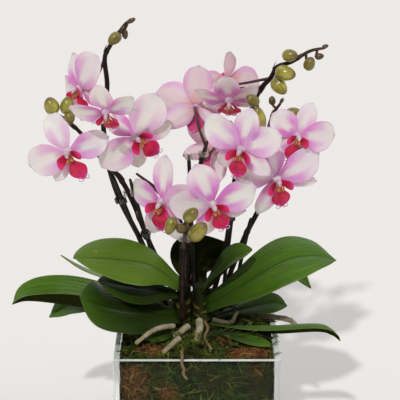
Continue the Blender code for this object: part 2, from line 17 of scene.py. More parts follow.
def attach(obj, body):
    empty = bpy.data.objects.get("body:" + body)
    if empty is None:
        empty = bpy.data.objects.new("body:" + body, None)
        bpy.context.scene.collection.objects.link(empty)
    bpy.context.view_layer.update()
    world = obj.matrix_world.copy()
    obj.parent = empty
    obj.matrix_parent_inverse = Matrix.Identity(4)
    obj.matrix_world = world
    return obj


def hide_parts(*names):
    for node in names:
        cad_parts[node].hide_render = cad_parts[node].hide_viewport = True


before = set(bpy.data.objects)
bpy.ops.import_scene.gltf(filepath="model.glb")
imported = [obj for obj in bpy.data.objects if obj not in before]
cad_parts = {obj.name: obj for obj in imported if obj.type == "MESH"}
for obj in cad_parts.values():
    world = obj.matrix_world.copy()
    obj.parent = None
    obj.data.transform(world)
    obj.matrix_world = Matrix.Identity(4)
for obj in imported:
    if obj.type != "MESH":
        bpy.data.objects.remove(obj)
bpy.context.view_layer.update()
MM = 0.001
print("nodes in the frame:", len(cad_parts))

# %% [markdown]
# ## Camera and light
# The plant is seen from the front and a little above, through a long lens, so that its lines stay nearly
# parallel. The key lamp, in front and to the left, throws the shadow that falls behind the plant to the
# right, and a weak, very wide lamp lifts the right side. A pale world fills the rest, as a white studio
# does. It is dimmer towards the front, so that glass and glossy leaves don't mirror it. The Standard view
# transform keeps the pinks and greens as strong as they are in the materials.

# %% Camera
LOOKING_DOWN = 19  # degrees
camera_data = bpy.data.cameras.new("camera")
camera_data.sensor_width = 36
camera_data.lens = 117
camera_data.clip_start = 0.01
camera = bpy.data.objects.new("camera", camera_data)
camera.location = (0.0023, -0.898, 0.5299)
camera.rotation_euler = (math.radians(90 - LOOKING_DOWN), 0, 0)
bpy.context.scene.collection.objects.link(camera)
bpy.context.scene.camera = camera


# %% Lamps and world
def far_lamp(name, direction, strength, spread, colour):
    """A lamp so far away that it lights everything evenly; spread is how wide it looks, in degrees."""
    lamp = bpy.data.lights.new(name, "SUN")
    lamp.energy = strength
    lamp.angle = math.radians(spread)
    lamp.color = colour
    holder = bpy.data.objects.new(name, lamp)
    holder.rotation_euler = Vector(direction).to_track_quat("Z", "Y").to_euler()
    bpy.context.scene.collection.objects.link(holder)


far_lamp("key_lamp", (-0.27, -1.09, 1.0), 1.5, 2.0, (1.0, 0.985, 0.965))
far_lamp("side_lamp", (0.9, -0.2, 0.9), 0.35, 60, (1.0, 1.0, 1.0))
world = bpy.data.worlds.new("studio")
bpy.context.scene.world = world
world.use_nodes = True
sky = world.node_tree.nodes
direction = sky.new("ShaderNodeTexCoord").outputs["Generated"]
height = sky.new("ShaderNodeVectorMath")
height.operation = "DOT_PRODUCT"
height.inputs[1].default_value = (0.1, 0.55, 0.85)
world.node_tree.links.new(direction, height.inputs[0])
ramp = sky.new("ShaderNodeMapRange")
ramp.interpolation_type = "SMOOTHSTEP"
for label, number in (("From Min", -0.3), ("From Max", 0.8), ("To Min", 0.05), ("To Max", 0.76)):
    ramp.inputs[label].default_value = number
world.node_tree.links.new(height.outputs["Value"], ramp.inputs["Value"])
world.node_tree.links.new(ramp.outputs["Result"], sky["Background"].inputs["Strength"])
sky["Background"].inputs["Color"].default_value = (0.98, 0.985, 1.0, 1)
bpy.context.scene.view_settings.view_transform = "Standard"


# %% Floor
def plain_floor(name, colour, depth=-0.0002):
    """A wide floor, a hair below the vase so that the two faces never share a place."""
    surface = bpy.data.materials.new(name)
    surface.use_nodes = True
    shader = surface.node_tree.nodes["Principled BSDF"]
    shader.inputs["Base Color"].default_value = (*colour, 1)
    shader.inputs["Roughness"].default_value = 0.85
    mesh = bpy.data.meshes.new(name)
    corners = [(-6, -6, depth), (6, -6, depth), (6, 9, depth), (-6, 9, depth)]
    mesh.from_pydata(corners, [], [(0, 1, 2, 3)])
    mesh.materials.append(surface)
    floor = bpy.data.objects.new(name, mesh)
    bpy.context.scene.collection.objects.link(floor)


plain_floor("studio_floor", (0.86, 0.84, 0.81))

# %% [markdown]
# ## Modelling helpers
# Petals and leaves are thin living sheets. Each starts as a rule that says where a point `u` along and `v`
# across the sheet goes. `sheet_shell` turns the rule into a closed shell with a front, a back and a rim.
# Stems and roots are `rod`s round a smooth curve. `Clay` gathers such shapes into one piece and keeps three
# things for the materials: `u`, `v`, and `front`, which is 1 on the upper side and 0 underneath.


# %% Smooth curves
def curve_point(points, t):
    """A point at t from 0 to 1 along a smooth curve through all the points."""
    place = t * (len(points) - 1)
    i = min(int(place), len(points) - 2)
    f = place - i
    b, c = Vector(points[i]), Vector(points[i + 1])
    a = Vector(points[i - 1]) if i > 0 else b * 2 - c
    d = Vector(points[i + 2]) if i + 2 < len(points) else c * 2 - b
    square, cube = 2 * a - 5 * b + 4 * c - d, 3 * b - a - 3 * c + d
    return 0.5 * ((2 * b) + (c - a) * f + square * f * f + cube * f**3)


def curve_points(points, count):
    return [curve_point(points, i / (count - 1)) for i in range(count)]


def curve_direction(points, t):
    return (curve_point(points, min(1.0, t + 0.01)) - curve_point(points, max(0.0, t - 0.01))).normalized()


def ease(low, high, x):
    t = min(1.0, max(0.0, (x - low) / (high - low)))
    return t * t * (3 - 2 * t)


# %% Clay: shapes gathered into one piece
class Clay:
    def __init__(self):
        self.points, self.faces, self.slots, self.marks = [], [], [], []

    def take(self, points, faces, slot, marks):
        start = len(self.points)
        self.points += [tuple(p) for p in points]
        self.faces += [tuple(start + i for i in face) for face in faces]
        self.slots += [slot] * len(faces)
        self.marks += marks

    def piece(self, name, materials):
        mesh = bpy.data.meshes.new(name)
        places = np.array(self.points) * MM
        mesh.from_pydata(places.tolist(), [], self.faces)
        for material in materials:
            mesh.materials.append(material)
        mesh.polygons.foreach_set("material_index", self.slots)
        for index, label in enumerate(("along", "across", "front", "tint")):
            values = mesh.attributes.new(label, "FLOAT", "POINT")
            values.data.foreach_set("value", [point_marks[index] for point_marks in self.marks])
        mesh.shade_smooth()
        mesh.update()
        made = bpy.data.objects.new(name, mesh)
        bpy.context.scene.collection.objects.link(made)
        return made


# %% Sheets and rods
def sheet_shell(clay, place, rows, columns, thickness, slot=0, tint=0.5, ends=(0.0, 1.0)):
    """A closed shell round the sheet place(v from -1 to 1, u from 0 to 1)."""
    us = [ends[0] + (ends[1] - ends[0]) * math.sin(math.pi / 2 * i / (rows - 1)) for i in range(rows)]
    vs = [math.sin(math.pi / 2 * (2 * j / (columns - 1) - 1)) for j in range(columns)]
    grid = np.array([[tuple(place(v, u)) for v in vs] for u in us])
    normals = np.cross(np.gradient(grid, axis=1), np.gradient(grid, axis=0))
    normals /= np.maximum(np.linalg.norm(normals, axis=2, keepdims=True), 1e-9)
    full = np.array([[(1 - abs(v) ** 4) * (1 - u**6) for v in vs] for u in us])[..., None]
    thin = thickness * (0.35 + 0.65 * full)
    front = (grid + normals * thin / 2).reshape(-1, 3)
    back = (grid - normals * thin / 2).reshape(-1, 3)
    half = rows * columns

    def at(i, j):
        return i * columns + j

    faces = []
    for i in range(rows - 1):
        for j in range(columns - 1):
            quad = (at(i, j), at(i, j + 1), at(i + 1, j + 1), at(i + 1, j))
            faces.append(quad)
            faces.append(tuple(half + k for k in reversed(quad)))
    edge = [at(0, j) for j in range(columns)] + [at(i, columns - 1) for i in range(1, rows)]
    edge += [at(rows - 1, j) for j in range(columns - 2, -1, -1)] + [at(i, 0) for i in range(rows - 2, 0, -1)]
    for a, b in zip(edge, edge[1:] + edge[:1]):
        faces.append((b, a, half + a, half + b))
    marks = [(u, v, 1.0, tint) for u in us for v in vs] + [(u, v, 0.0, tint) for u in us for v in vs]
    clay.take(np.concatenate([front, back]), faces, slot, marks)


def ring_faces(count, sides):
    """The faces between rings of points that lie one behind another."""
    faces = []
    for i in range(count - 1):
        for k in range(sides):
            n = (k + 1) % sides
            faces.append((i * sides + k, i * sides + n, (i + 1) * sides + n, (i + 1) * sides + k))
    return faces


def flat_ends(count, sides):
    """The faces that close the first and the last ring."""
    return [tuple(reversed(range(sides))), tuple((count - 1) * sides + k for k in range(sides))]


def rod(clay, path, radius, sides=12, slot=0, tint=0.5):
    """A closed rod along path; radius(t, angle) gives its size, and its ends are rounded."""
    path = [Vector(p) for p in path]
    count = len(path)
    tangents = [(path[min(i + 1, count - 1)] - path[max(i - 1, 0)]).normalized() for i in range(count)]
    side = tangents[0].orthogonal().normalized()
    rings, marks = [], []
    for i, (centre, tangent) in enumerate(zip(path, tangents)):
        side = (side - tangent * side.dot(tangent)).normalized()
        other = tangent.cross(side)
        t = i / (count - 1)
        for k in range(sides):
            angle = 2 * math.pi * k / sides
            r = radius(t, angle)
            out = side * math.cos(angle) + other * math.sin(angle)
            rings.append(tuple(centre + out * r))
            marks.append((t, 2 * k / sides - 1, 1.0, tint))
    faces = ring_faces(count, sides)
    low, high = count * sides, count * sides + 1
    r0, r1 = radius(0.0, 0.0), radius(1.0, 0.0)
    rings += [tuple(path[0] - tangents[0] * r0 * 0.5), tuple(path[-1] + tangents[-1] * r1 * 0.5)]
    marks += [(0.0, 0.0, 1.0, tint), (1.0, 0.0, 1.0, tint)]
    for k in range(sides):
        n = (k + 1) % sides
        faces.append((low, n, k))
        faces.append((high, (count - 1) * sides + k, (count - 1) * sides + n))
    clay.take(rings, faces, slot, marks)


def egg(clay, centre, direction, length, radius, rows=14, sides=18, slot=0, tint=0.5):
    """A closed turned shape along direction; radius(t, angle) is its half width."""
    axis = Vector(direction).normalized()
    side = axis.orthogonal().normalized()
    other = axis.cross(side)
    start = Vector(centre) - axis * length / 2
    rings, marks = [tuple(start)], [(0.0, 0.0, 1.0, tint)]
    for i in range(1, rows):
        t = 0.5 - 0.5 * math.cos(math.pi * i / rows)
        for k in range(sides):
            angle = 2 * math.pi * k / sides
            r = radius(t, angle) * math.sqrt(max(0.0, 1 - (2 * t - 1) ** 2))
            out = side * math.cos(angle) + other * math.sin(angle)
            rings.append(tuple(start + axis * (length * t) + out * r))
            marks.append((t, 2 * k / sides - 1, 1.0, tint))
    rings.append(tuple(start + axis * length))
    marks.append((1.0, 0.0, 1.0, tint))
    faces = []
    for k in range(sides):
        n = (k + 1) % sides
        faces.append((0, 1 + n, 1 + k))
        faces.append((len(rings) - 1, 1 + (rows - 2) * sides + k, 1 + (rows - 2) * sides + n))
        for i in range(rows - 2):
            a, b = 1 + i * sides, 1 + (i + 1) * sides
            faces.append((a + k, a + n, b + n, b + k))
    clay.take(rings, faces, slot, marks)


# %% [markdown]
# ## Shader groups
# Three effects are shared. `fine_veins` draws the thin lines that run the length of a petal or leaf.
# `cloudy` gives the uneven colour that living things have. `two_sided` shows one colour on a sheet's upper
# side and another underneath.


# %% Node helpers
def wire(tree, value, socket):
    if isinstance(value, bpy.types.NodeSocket):
        tree.links.new(value, socket)
    elif isinstance(value, (tuple, list)):
        socket.default_value = (*value, 1.0) if len(value) == 3 and len(socket.default_value) == 4 else value
    else:
        socket.default_value = value


def math_node(tree, operation, a, b=0.0, clamp=False):
    node = tree.nodes.new("ShaderNodeMath")
    node.operation = operation
    node.use_clamp = clamp
    wire(tree, a, node.inputs[0])
    wire(tree, b, node.inputs[1])
    return node.outputs[0]


def times(tree, a, b, clamp=False):
    return math_node(tree, "MULTIPLY", a, b, clamp)


def plus(tree, a, b):
    return math_node(tree, "ADD", a, b)


def minus(tree, a, b):
    return math_node(tree, "SUBTRACT", a, b)


def greater(tree, a, b):
    return math_node(tree, "MAXIMUM", a, b)


def remap(tree, value, low, high, to_low=0.0, to_high=1.0, smooth=True):
    node = tree.nodes.new("ShaderNodeMapRange")
    node.interpolation_type = "SMOOTHSTEP" if smooth else "LINEAR"
    wire(tree, value, node.inputs["Value"])
    for label, number in (("From Min", low), ("From Max", high), ("To Min", to_low), ("To Max", to_high)):
        wire(tree, number, node.inputs[label])
    return node.outputs["Result"]


def blend(tree, factor, a, b):
    node = tree.nodes.new("ShaderNodeMix")
    node.data_type = "RGBA"
    wire(tree, factor, node.inputs[0])
    wire(tree, a, node.inputs[6])
    wire(tree, b, node.inputs[7])
    return node.outputs[2]


def mark(tree, label):
    node = tree.nodes.new("ShaderNodeAttribute")
    node.attribute_name = label
    return node.outputs["Fac"]


def spot(tree):
    return tree.nodes.new("ShaderNodeTexCoord").outputs["Object"]


def speckle(tree, vector, scale, detail=3.0, rough=0.6):
    node = tree.nodes.new("ShaderNodeTexNoise")
    wire(tree, vector, node.inputs["Vector"])
    node.inputs["Scale"].default_value = scale
    node.inputs["Detail"].default_value = detail
    node.inputs["Roughness"].default_value = rough
    return node.outputs["Fac"]


def joined(tree, x, y, z):
    node = tree.nodes.new("ShaderNodeCombineXYZ")
    for value, socket in zip((x, y, z), node.inputs):
        wire(tree, value, socket)
    return node.outputs[0]


def new_group(name, inputs, outputs):
    group = bpy.data.node_groups.new(name, "ShaderNodeTree")
    for label, kind, value in inputs:
        socket = group.interface.new_socket(label, in_out="INPUT", socket_type=kind)
        socket.default_value = value
    for label, kind in outputs:
        group.interface.new_socket(label, in_out="OUTPUT", socket_type=kind)
    source, sink = group.nodes.new("NodeGroupInput"), group.nodes.new("NodeGroupOutput")
    return group, source.outputs, sink.inputs


def use_group(tree, group, **values):
    node = tree.nodes.new("ShaderNodeGroup")
    node.node_tree = group
    for label, value in values.items():
        wire(tree, value, node.inputs[label.replace("_", " ")])
    return node.outputs


# %% Group: fine veins along a sheet
veins, given, out = new_group(
    "fine_veins",
    [
        ("Count", "NodeSocketFloat", 12.0),
        ("Wander", "NodeSocketFloat", 0.4),
        ("Sharpness", "NodeSocketFloat", 3.0),
    ],
    [("Lines", "NodeSocketFloat")],
)
wander = speckle(veins, spot(veins), 90.0, 2.0)
wander = times(veins, minus(veins, wander, 0.5), given["Wander"])
bend = plus(veins, mark(veins, "across"), wander)
turns = times(veins, given["Count"], math.pi)
wave = math_node(veins, "SINE", times(veins, bend, turns))
wave = times(veins, plus(veins, wave, 1.0), 0.5)
wire(veins, math_node(veins, "POWER", wave, given["Sharpness"]), out["Lines"])

# %% Group: cloudy colour
cloudy, given, out = new_group(
    "cloudy",
    [
        ("Colour", "NodeSocketColor", (1, 1, 1, 1)),
        ("Other", "NodeSocketColor", (0, 0, 0, 1)),
        ("Scale", "NodeSocketFloat", 40.0),
        ("Amount", "NodeSocketFloat", 0.5),
    ],
    [("Colour", "NodeSocketColor"), ("Mask", "NodeSocketFloat")],
)
grain = cloudy.nodes.new("ShaderNodeTexNoise")
wire(cloudy, spot(cloudy), grain.inputs["Vector"])
wire(cloudy, given["Scale"], grain.inputs["Scale"])
grain.inputs["Detail"].default_value = 4.0
patch = remap(cloudy, grain.outputs["Fac"], 0.36, 0.66)
share = times(cloudy, patch, given["Amount"])
wire(cloudy, blend(cloudy, share, given["Colour"], given["Other"]), out["Colour"])
wire(cloudy, patch, out["Mask"])


def clouds(tree, colour, other, scale, amount):
    return use_group(tree, cloudy, Colour=colour, Other=other, Scale=scale, Amount=amount)


# %% Group: one colour above, another underneath
two_sided, given, out = new_group(
    "two_sided",
    [("Above", "NodeSocketColor", (1, 1, 1, 1)), ("Underneath", "NodeSocketColor", (0, 0, 0, 1))],
    [("Colour", "NodeSocketColor")],
)
side_mask = remap(two_sided, mark(two_sided, "front"), 0.3, 0.7)
wire(two_sided, blend(two_sided, side_mask, given["Underneath"], given["Above"]), out["Colour"])
print("shader groups:", [g.name for g in (veins, cloudy, two_sided)])


# %% Finish helper
def new_finish(name, roughness, coat=0.0, soft=0.0, reach=0.002, specular=0.5):
    """A material with its Principled shader's plain numbers set; colours and bumps are wired in after."""
    made = bpy.data.materials.new(name)
    made.use_nodes = True
    shader = made.node_tree.nodes["Principled BSDF"]
    shader.inputs["Roughness"].default_value = roughness
    shader.inputs["Coat Weight"].default_value = coat
    shader.inputs["Coat Roughness"].default_value = 0.25
    shader.inputs["Subsurface Weight"].default_value = soft
    shader.inputs["Subsurface Scale"].default_value = reach
    shader.inputs["Specular IOR Level"].default_value = specular
    return made, made.node_tree, shader


def paint(tree, shader, colour):
    wire(tree, colour, shader.inputs["Base Color"])


def add_bump(tree, shader, height, strength, distance=0.0004):
    bump = tree.nodes.new("ShaderNodeBump")
    bump.inputs["Strength"].default_value = strength
    bump.inputs["Distance"].default_value = distance
    wire(tree, height, bump.inputs["Height"])
    wire(tree, bump.outputs["Normal"], shader.inputs["Normal"])


# %% [markdown]
# ## Petal finish
# The petals are creamy white down the middle. A lilac flush starts at the base on both sides of the midrib,
# fades towards the tip, and comes back as a thin pink line along the edge. Thin veins show through.
# Underneath, the colour is peachy and paler. A little light passes through the sheet, so the finish uses
# some subsurface scattering.

# %% Petal finish
petal_finish, tree, shader = new_finish("petal_satin", 0.5, soft=0.25, reach=0.004, specular=0.35)
along, across = mark(tree, "along"), mark(tree, "across")
off_midrib = math_node(tree, "ABSOLUTE", across)
drift = speckle(tree, spot(tree), 55.0, 2.0)
along_drift = plus(tree, along, times(tree, minus(tree, drift, 0.5), 0.45))
side_flush = times(tree, remap(tree, off_midrib, 0.12, 0.55), remap(tree, along_drift, 0.85, 0.28))
base_flush = remap(tree, along_drift, 0.34, 0.06)
rim_flush = times(tree, remap(tree, off_midrib, 0.80, 1.0), 0.55)
tip_flush = times(tree, remap(tree, along, 0.86, 1.0), 0.35)
flush = greater(tree, greater(tree, side_flush, base_flush), greater(tree, rim_flush, tip_flush))
lines = use_group(tree, veins, Count=15.0, Wander=0.12, Sharpness=2.5)["Lines"]
flush = plus(tree, flush, times(tree, minus(tree, lines, 0.35), 0.22))
strength = remap(tree, mark(tree, "tint"), 0.0, 1.0, 0.45, 1.25, smooth=False)
flush = times(tree, flush, strength, clamp=True)
cream = clouds(tree, (0.90, 0.86, 0.80), (0.86, 0.74, 0.80), 60.0, 0.8)["Colour"]
lilac = clouds(tree, (0.72, 0.23, 0.62), (0.82, 0.40, 0.74), 80.0, 0.8)["Colour"]
upper = blend(tree, flush, cream, lilac)
peach = blend(tree, remap(tree, along_drift, 0.42, 0.05), (0.92, 0.76, 0.80), (0.82, 0.44, 0.44))
peach = blend(tree, remap(tree, off_midrib, 0.45, 0.95), peach, (0.86, 0.52, 0.78))
paint(tree, shader, use_group(tree, two_sided, Above=upper, Underneath=peach)["Colour"])
add_bump(tree, shader, lines, 0.35, 0.0002)

# %% [markdown]
# ## Lip finish
# The lip is the showy lower petal: deep crimson that turns to magenta at its tip, with an orange throat
# sprinkled with red. The tip ends in two pale curled threads. The column above it is waxy white.

# %% Lip, throat and column finishes
lip_finish, tree, shader = new_finish("lip_crimson", 0.42, soft=0.08, reach=0.0015, specular=0.4)
along = mark(tree, "along")
deep = clouds(tree, (0.70, 0.006, 0.065), (0.38, 0.002, 0.045), 160.0, 0.8)["Colour"]
reddish = blend(tree, remap(tree, along, 0.62, 1.0), deep, (0.85, 0.03, 0.30))
rib = use_group(tree, veins, Count=9.0, Wander=0.25, Sharpness=2.0)["Lines"]
reddish = blend(tree, times(tree, rib, 0.25), reddish, (0.72, 0.03, 0.10))
sprinkle = remap(tree, speckle(tree, spot(tree), 1400.0, 1.0), 0.52, 0.60)
throat = blend(tree, sprinkle, (0.75, 0.38, 0.10), (0.45, 0.02, 0.02))
front_colour = blend(tree, remap(tree, along, 0.20, 0.06), reddish, throat)
both = use_group(tree, two_sided, Above=front_colour, Underneath=(0.62, 0.06, 0.22))
paint(tree, shader, both["Colour"])
add_bump(tree, shader, rib, 0.4, 0.0002)

column_finish, tree, shader = new_finish("column_white", 0.35, coat=0.2, soft=0.2, reach=0.002)
waxy = clouds(tree, (0.70, 0.58, 0.64), (0.55, 0.24, 0.42), 240.0, 0.7)
foot_flush = remap(tree, mark(tree, "along"), 0.45, 0.0)
paint(tree, shader, blend(tree, foot_flush, waxy["Colour"], (0.62, 0.30, 0.48)))
add_bump(tree, shader, waxy["Mask"], 0.15)

throat_finish, tree, shader = new_finish("throat_orange", 0.45, soft=0.1, reach=0.001)
dots = remap(tree, speckle(tree, spot(tree), 1300.0, 1.0), 0.44, 0.54)
paint(tree, shader, blend(tree, dots, (0.62, 0.27, 0.08), (0.36, 0.02, 0.015)))
add_bump(tree, shader, dots, 0.3)

# %% [markdown]
# ## A flower's shape
# A moth orchid has three sepals behind, two broad petals in front, and a lip. `tepal` bends one sheet from
# the flower's axis outwards. Every flower gets its own small differences from a seeded random source, since
# no two open alike.

# %% Flower measures, shared with the frame
TEPAL_START, TEPAL_LEVEL, TEPAL_THICKNESS = 1.4, 0.8, 0.75
PETAL = dict(length=30.0, width=25.0, claw=0.12, widest=0.50, roundness=2.2, lean=0.0, bend=0.2, cup=0.22)
DORSAL = dict(length=28.0, width=17.0, claw=0.2, widest=0.50, roundness=2.1, lean=0.10, bend=0.14, cup=0.3)
LATERAL = dict(length=27.0, width=14.5, claw=0.2, widest=0.45, roundness=1.9, lean=0.12, bend=0.14, cup=0.3)
LIP_LENGTH, LIP_WIDTH = 17.5, 14.0
PETAL_TURN, LATERAL_TURN = math.radians(76), math.radians(135)  # from the dorsal sepal
AS_USUAL = (0, 0, 1, 1)
# name, place of its heart, then turn, nod and roll in degrees, and size
FLOWERS = (
    ("flower_01", (-91, -20, 264), (-8, 2, 32), 1.05),
    ("flower_02", (-62, -41, 299), (-4, 38, 14), 0.86),
    ("flower_03", (-84.5, 14, 301), (-48, -2, 33), 1.0),
    ("flower_04", (-44, -6, 271), (14, 6, 52), 1.02),
    ("flower_05", (-25, -15, 225), (-28, 4, -4), 1.05),
    ("flower_06", (-0.5, 25, 285), (170, -4, 4), 1.02),
    ("flower_07", (22, 45, 300), (150, -10, 22), 0.92),
    ("flower_08", (23, 3, 296), (-4, 44, 4), 0.92),
    ("flower_09", (31, -36, 271), (-20, 4, -4), 1.0),
    ("flower_10", (72, -7.5, 272.5), (10, 2, -18), 0.9),
    ("flower_11", (57, -14, 242), (14, 8, 12), 1.05),
    ("flower_12", (11, -32, 229), (10, 6, 24), 1.0),
    ("flower_13", (14, 40, 249), (160, 0, 30), 0.92),
)

# how single tepals differ: extra turn clockwise and extra lean back in degrees, share of length and width
OWN_SHAPES = {
    "flower_01": {"top": (0, 4, 1.0, 1.05), "left": (-4, 0, 1.0, 0.92), "right": (28, 14, 0.95, 0.75),
                  "low_left": (8, 0, 0.9, 0.9), "low_right": (-14, 8, 0.9, 0.8)},
    "flower_02": {"top": (6, -6, 0.95, 1.1), "left": (-8, 0, 1.0, 0.9), "right": (10, 16, 0.8, 0.85),
                  "low_right": (-14, 6, 0.95, 0.7)},
    "flower_03": {"top": (-4, 4, 1.0, 0.95), "left": (6, 10, 0.9, 0.75), "right": (-10, 0, 1.05, 1.1)},
    "flower_04": {"top": (-4, 10, 0.9, 0.9), "left": (-6, 0, 1.05, 1.0), "right": (4, 0, 1.1, 1.1)},
    "flower_05": {"top": (0, 0, 1.12, 0.95), "left": (-10, 10, 0.95, 0.8), "low_left": (-22, -4, 1.1, 1.0),
                  "low_right": (24, -4, 1.15, 1.05)},
    "flower_06": {"top": (0, -4, 1.1, 1.3), "left": (4, 6, 0.75, 0.8), "low_right": (-6, -6, 1.0, 1.15),
                  "low_left": (12, 0, 1.0, 0.7)},
    "flower_07": {"top": (0, 0, 1.05, 0.62), "right": (26, 34, 0.8, 0.6), "left": (2, -6, 1.0, 1.12),
                  "low_right": (10, 18, 0.8, 0.8), "low_left": (6, 10, 0.85, 0.8)},
    "flower_08": {"top": (0, -8, 1.0, 1.2), "left": (-6, 6, 0.9, 0.8), "right": (6, 12, 0.8, 0.8)},
    "flower_09": {"top": (6, 0, 1.0, 1.1), "left": (18, 0, 1.08, 0.95), "right": (-10, 6, 0.95, 0.9)},
    "flower_10": {"top": (10, 0, 0.95, 1.0), "left": (6, 4, 0.85, 0.9), "right": (4, 0, 1.05, 1.05)},
    "flower_11": {"left": (16, 0, 1.05, 1.0), "right": (4, 0, 1.15, 0.95), "low_right": (-22, 0, 1.15, 0.7),
                  "low_left": (-14, 0, 1.15, 0.95)},
    "flower_12": {"top": (2, -4, 1.1, 1.35), "left": (6, 6, 1.0, 0.95), "right": (24, 0, 1.1, 0.95),
                  "low_left": (-10, 0, 1.05, 1.1)},
}


# %% One tepal
def tepal_share(u, claw, widest, roundness):
    if u < widest:
        s = u / widest
        return claw + (1 - claw) * math.sin(s * math.pi / 2) ** 1.05
    s = (u - widest) / (1 - widest)
    return math.sqrt(max(0.0, 1 - s**roundness)) * 0.985 + 0.015


def tepal(clay, angle, seed, own, level, length, width, claw, widest, roundness, lean, bend, cup):
    """One tepal; own is this one's extra turn and lean in degrees, and its share of length and width."""
    extra_turn, extra_lean, length_share, width_share = own
    chance = random.Random(seed)
    angle += chance.uniform(-0.05, 0.05) + math.radians(extra_turn)
    lean += math.radians(extra_lean)
    length *= length_share
    width *= width_share
    lean += chance.uniform(-0.05, 0.06)
    bend += chance.uniform(-0.10, 0.12)
    cup += chance.uniform(-0.12, 0.12)
    phase, waves = chance.uniform(0, 6.3), chance.uniform(1.3, 2.2)
    ruffle = chance.uniform(0.25, 0.75)
    twist = chance.uniform(-0.10, 0.10)
    outwards = Vector((math.sin(angle), math.cos(angle), 0))
    sideways = Vector((math.cos(angle), -math.sin(angle), 0))

    def place(v, u):
        tilt = lean + bend * u * u * 0.6
        run = TEPAL_START + length * u * (1 - 0.05 * v * v * u**3)
        reach = width / 2 * tepal_share(u, claw, widest, roundness) * v
        height = level - run * math.sin(tilt) + cup * reach * reach / width
        height += ruffle * math.sin(waves * math.pi * 2 * u + phase + (1.2 if v > 0 else 0)) * abs(v) ** 3 * u
        crease = math.exp(-((v / 0.09) ** 2)) * ease(0.05, 0.25, u) * ease(1.0, 0.8, u)
        height += twist * reach * u - 0.35 * crease
        return outwards * (run * math.cos(tilt)) + sideways * reach + Vector((0, 0, height))

    sheet_shell(clay, place, 30, 19, TEPAL_THICKNESS, tint=chance.uniform(0.1, 1.0))


# %% [markdown]
# The lip's middle lobe hangs forward and down like a small shield, folded along its ridge. Its two side
# lobes stand up beside the column. Two threads curl back from its tip.


# %% Lip and column
def lip(clay, seed):
    chance = random.Random(seed)
    swing = chance.uniform(-0.06, 0.06)

    def middle(v, u):
        if u < 0.62:
            share = 0.24 + 0.70 * ease(0.18, 0.62, u)
        else:
            share = 0.94 * (1 - ((u - 0.62) / 0.38) ** 1.8) ** 0.7 + 0.015
        reach = LIP_WIDTH / 2 * share * v
        down = -3.0 - LIP_LENGTH * math.sin(0.75 + 0.75 * u) * u * 1.06
        out = 2.0 + LIP_LENGTH * 0.8 * math.cos(0.55 + 1.1 * u) * u
        fold = -0.34 * abs(reach) + 1.1 * abs(v) ** 2.5 * ease(0.4, 0.9, u)
        ridge = 0.7 * math.exp(-((v / 0.16) ** 2)) * (1 - u)
        return Vector((reach + swing * down, down, out + fold + ridge))

    sheet_shell(clay, lambda v, u: middle(-v, u), 26, 17, 0.8, slot=1)

    for side in (-1, 1):

        def ear(v, u, side=side):
            share = 0.40 + 0.60 * math.sin(min(1.0, u * 1.15) * math.pi * 0.55)
            share *= math.sqrt(max(0.01, 1 - max(0.0, (u - 0.55) / 0.45) ** 2.4))
            reach = 8.4 / 2 * share * v
            away = 1.3 + 8.0 * u
            out = 1.9 + 4.4 * math.sin(u * 1.9) + 0.06 * reach * reach + 1.2 * u * u
            return Vector((side * (away - 0.10 * reach), -2.2 + reach * 0.95 - 2.6 * u, out))

        sheet_shell(clay, lambda v, u, side=side, ear=ear: ear(-side * v, u), 16, 11, 0.7, slot=1)
    tip = Vector((swing * -20.4, -20.6, 1.2))
    for side in (-1, 1):
        curl = [tip + Vector((side * 0.3, 0.6, 0))]
        for i in range(1, 12):
            a = i * 0.42
            r = 2.6 - 0.13 * i
            away = side * (0.3 + r * (1 - math.cos(a)) * 1.15)
            curl.append(tip + Vector((away, -r * math.sin(a) * 0.9, 0.12 * i)))
        rod(clay, curl, lambda t, a: 0.42 - 0.24 * t, sides=6, slot=2)
    for side in (-1, 1):
        place, direction = (side * 1.25, -5.2, 5.9), (side * 0.25, -0.6, 1)
        egg(clay, place, direction, 5.4, lambda t, a: 1.7, rows=9, sides=12, slot=3)


def column(clay):
    egg(clay, (0, -0.6, 0.6), (0.1, 0.06, 1), 6.2, lambda t, a: 3.4, rows=8, sides=14, slot=2)

    def hood(t, a):
        return 1.9 * (0.85 + 0.3 * ease(0.3, 0.9, t)) * (1 + 0.08 * math.cos(a * 2))

    egg(clay, (0.1, -1.0, 4.6), (0.02, -0.32, 1), 6.4, hood, rows=12, sides=16, slot=2)
    egg(clay, (0.1, -2.3, 7.0), (0.02, -0.9, 0.9), 2.3, lambda t, a: 1.2, rows=8, sides=12, slot=2)


# %% Turning a flower to its own direction
def facing(turn, nod, roll):
    """The rotation of a flower that turns towards +X, nods down and rolls anticlockwise."""
    t, n, r = (math.radians(angle) for angle in (turn, nod, roll))
    front = Vector((math.sin(t) * math.cos(n), -math.cos(t) * math.cos(n), -math.sin(n)))
    up = Vector((math.sin(t) * math.sin(n), -math.cos(t) * math.sin(n), math.cos(n)))
    right = up.cross(front)
    rolled_up = up * math.cos(r) - right * math.sin(r)
    rolled_right = right * math.cos(r) + up * math.sin(r)
    return Matrix((rolled_right, rolled_up, front)).transposed()


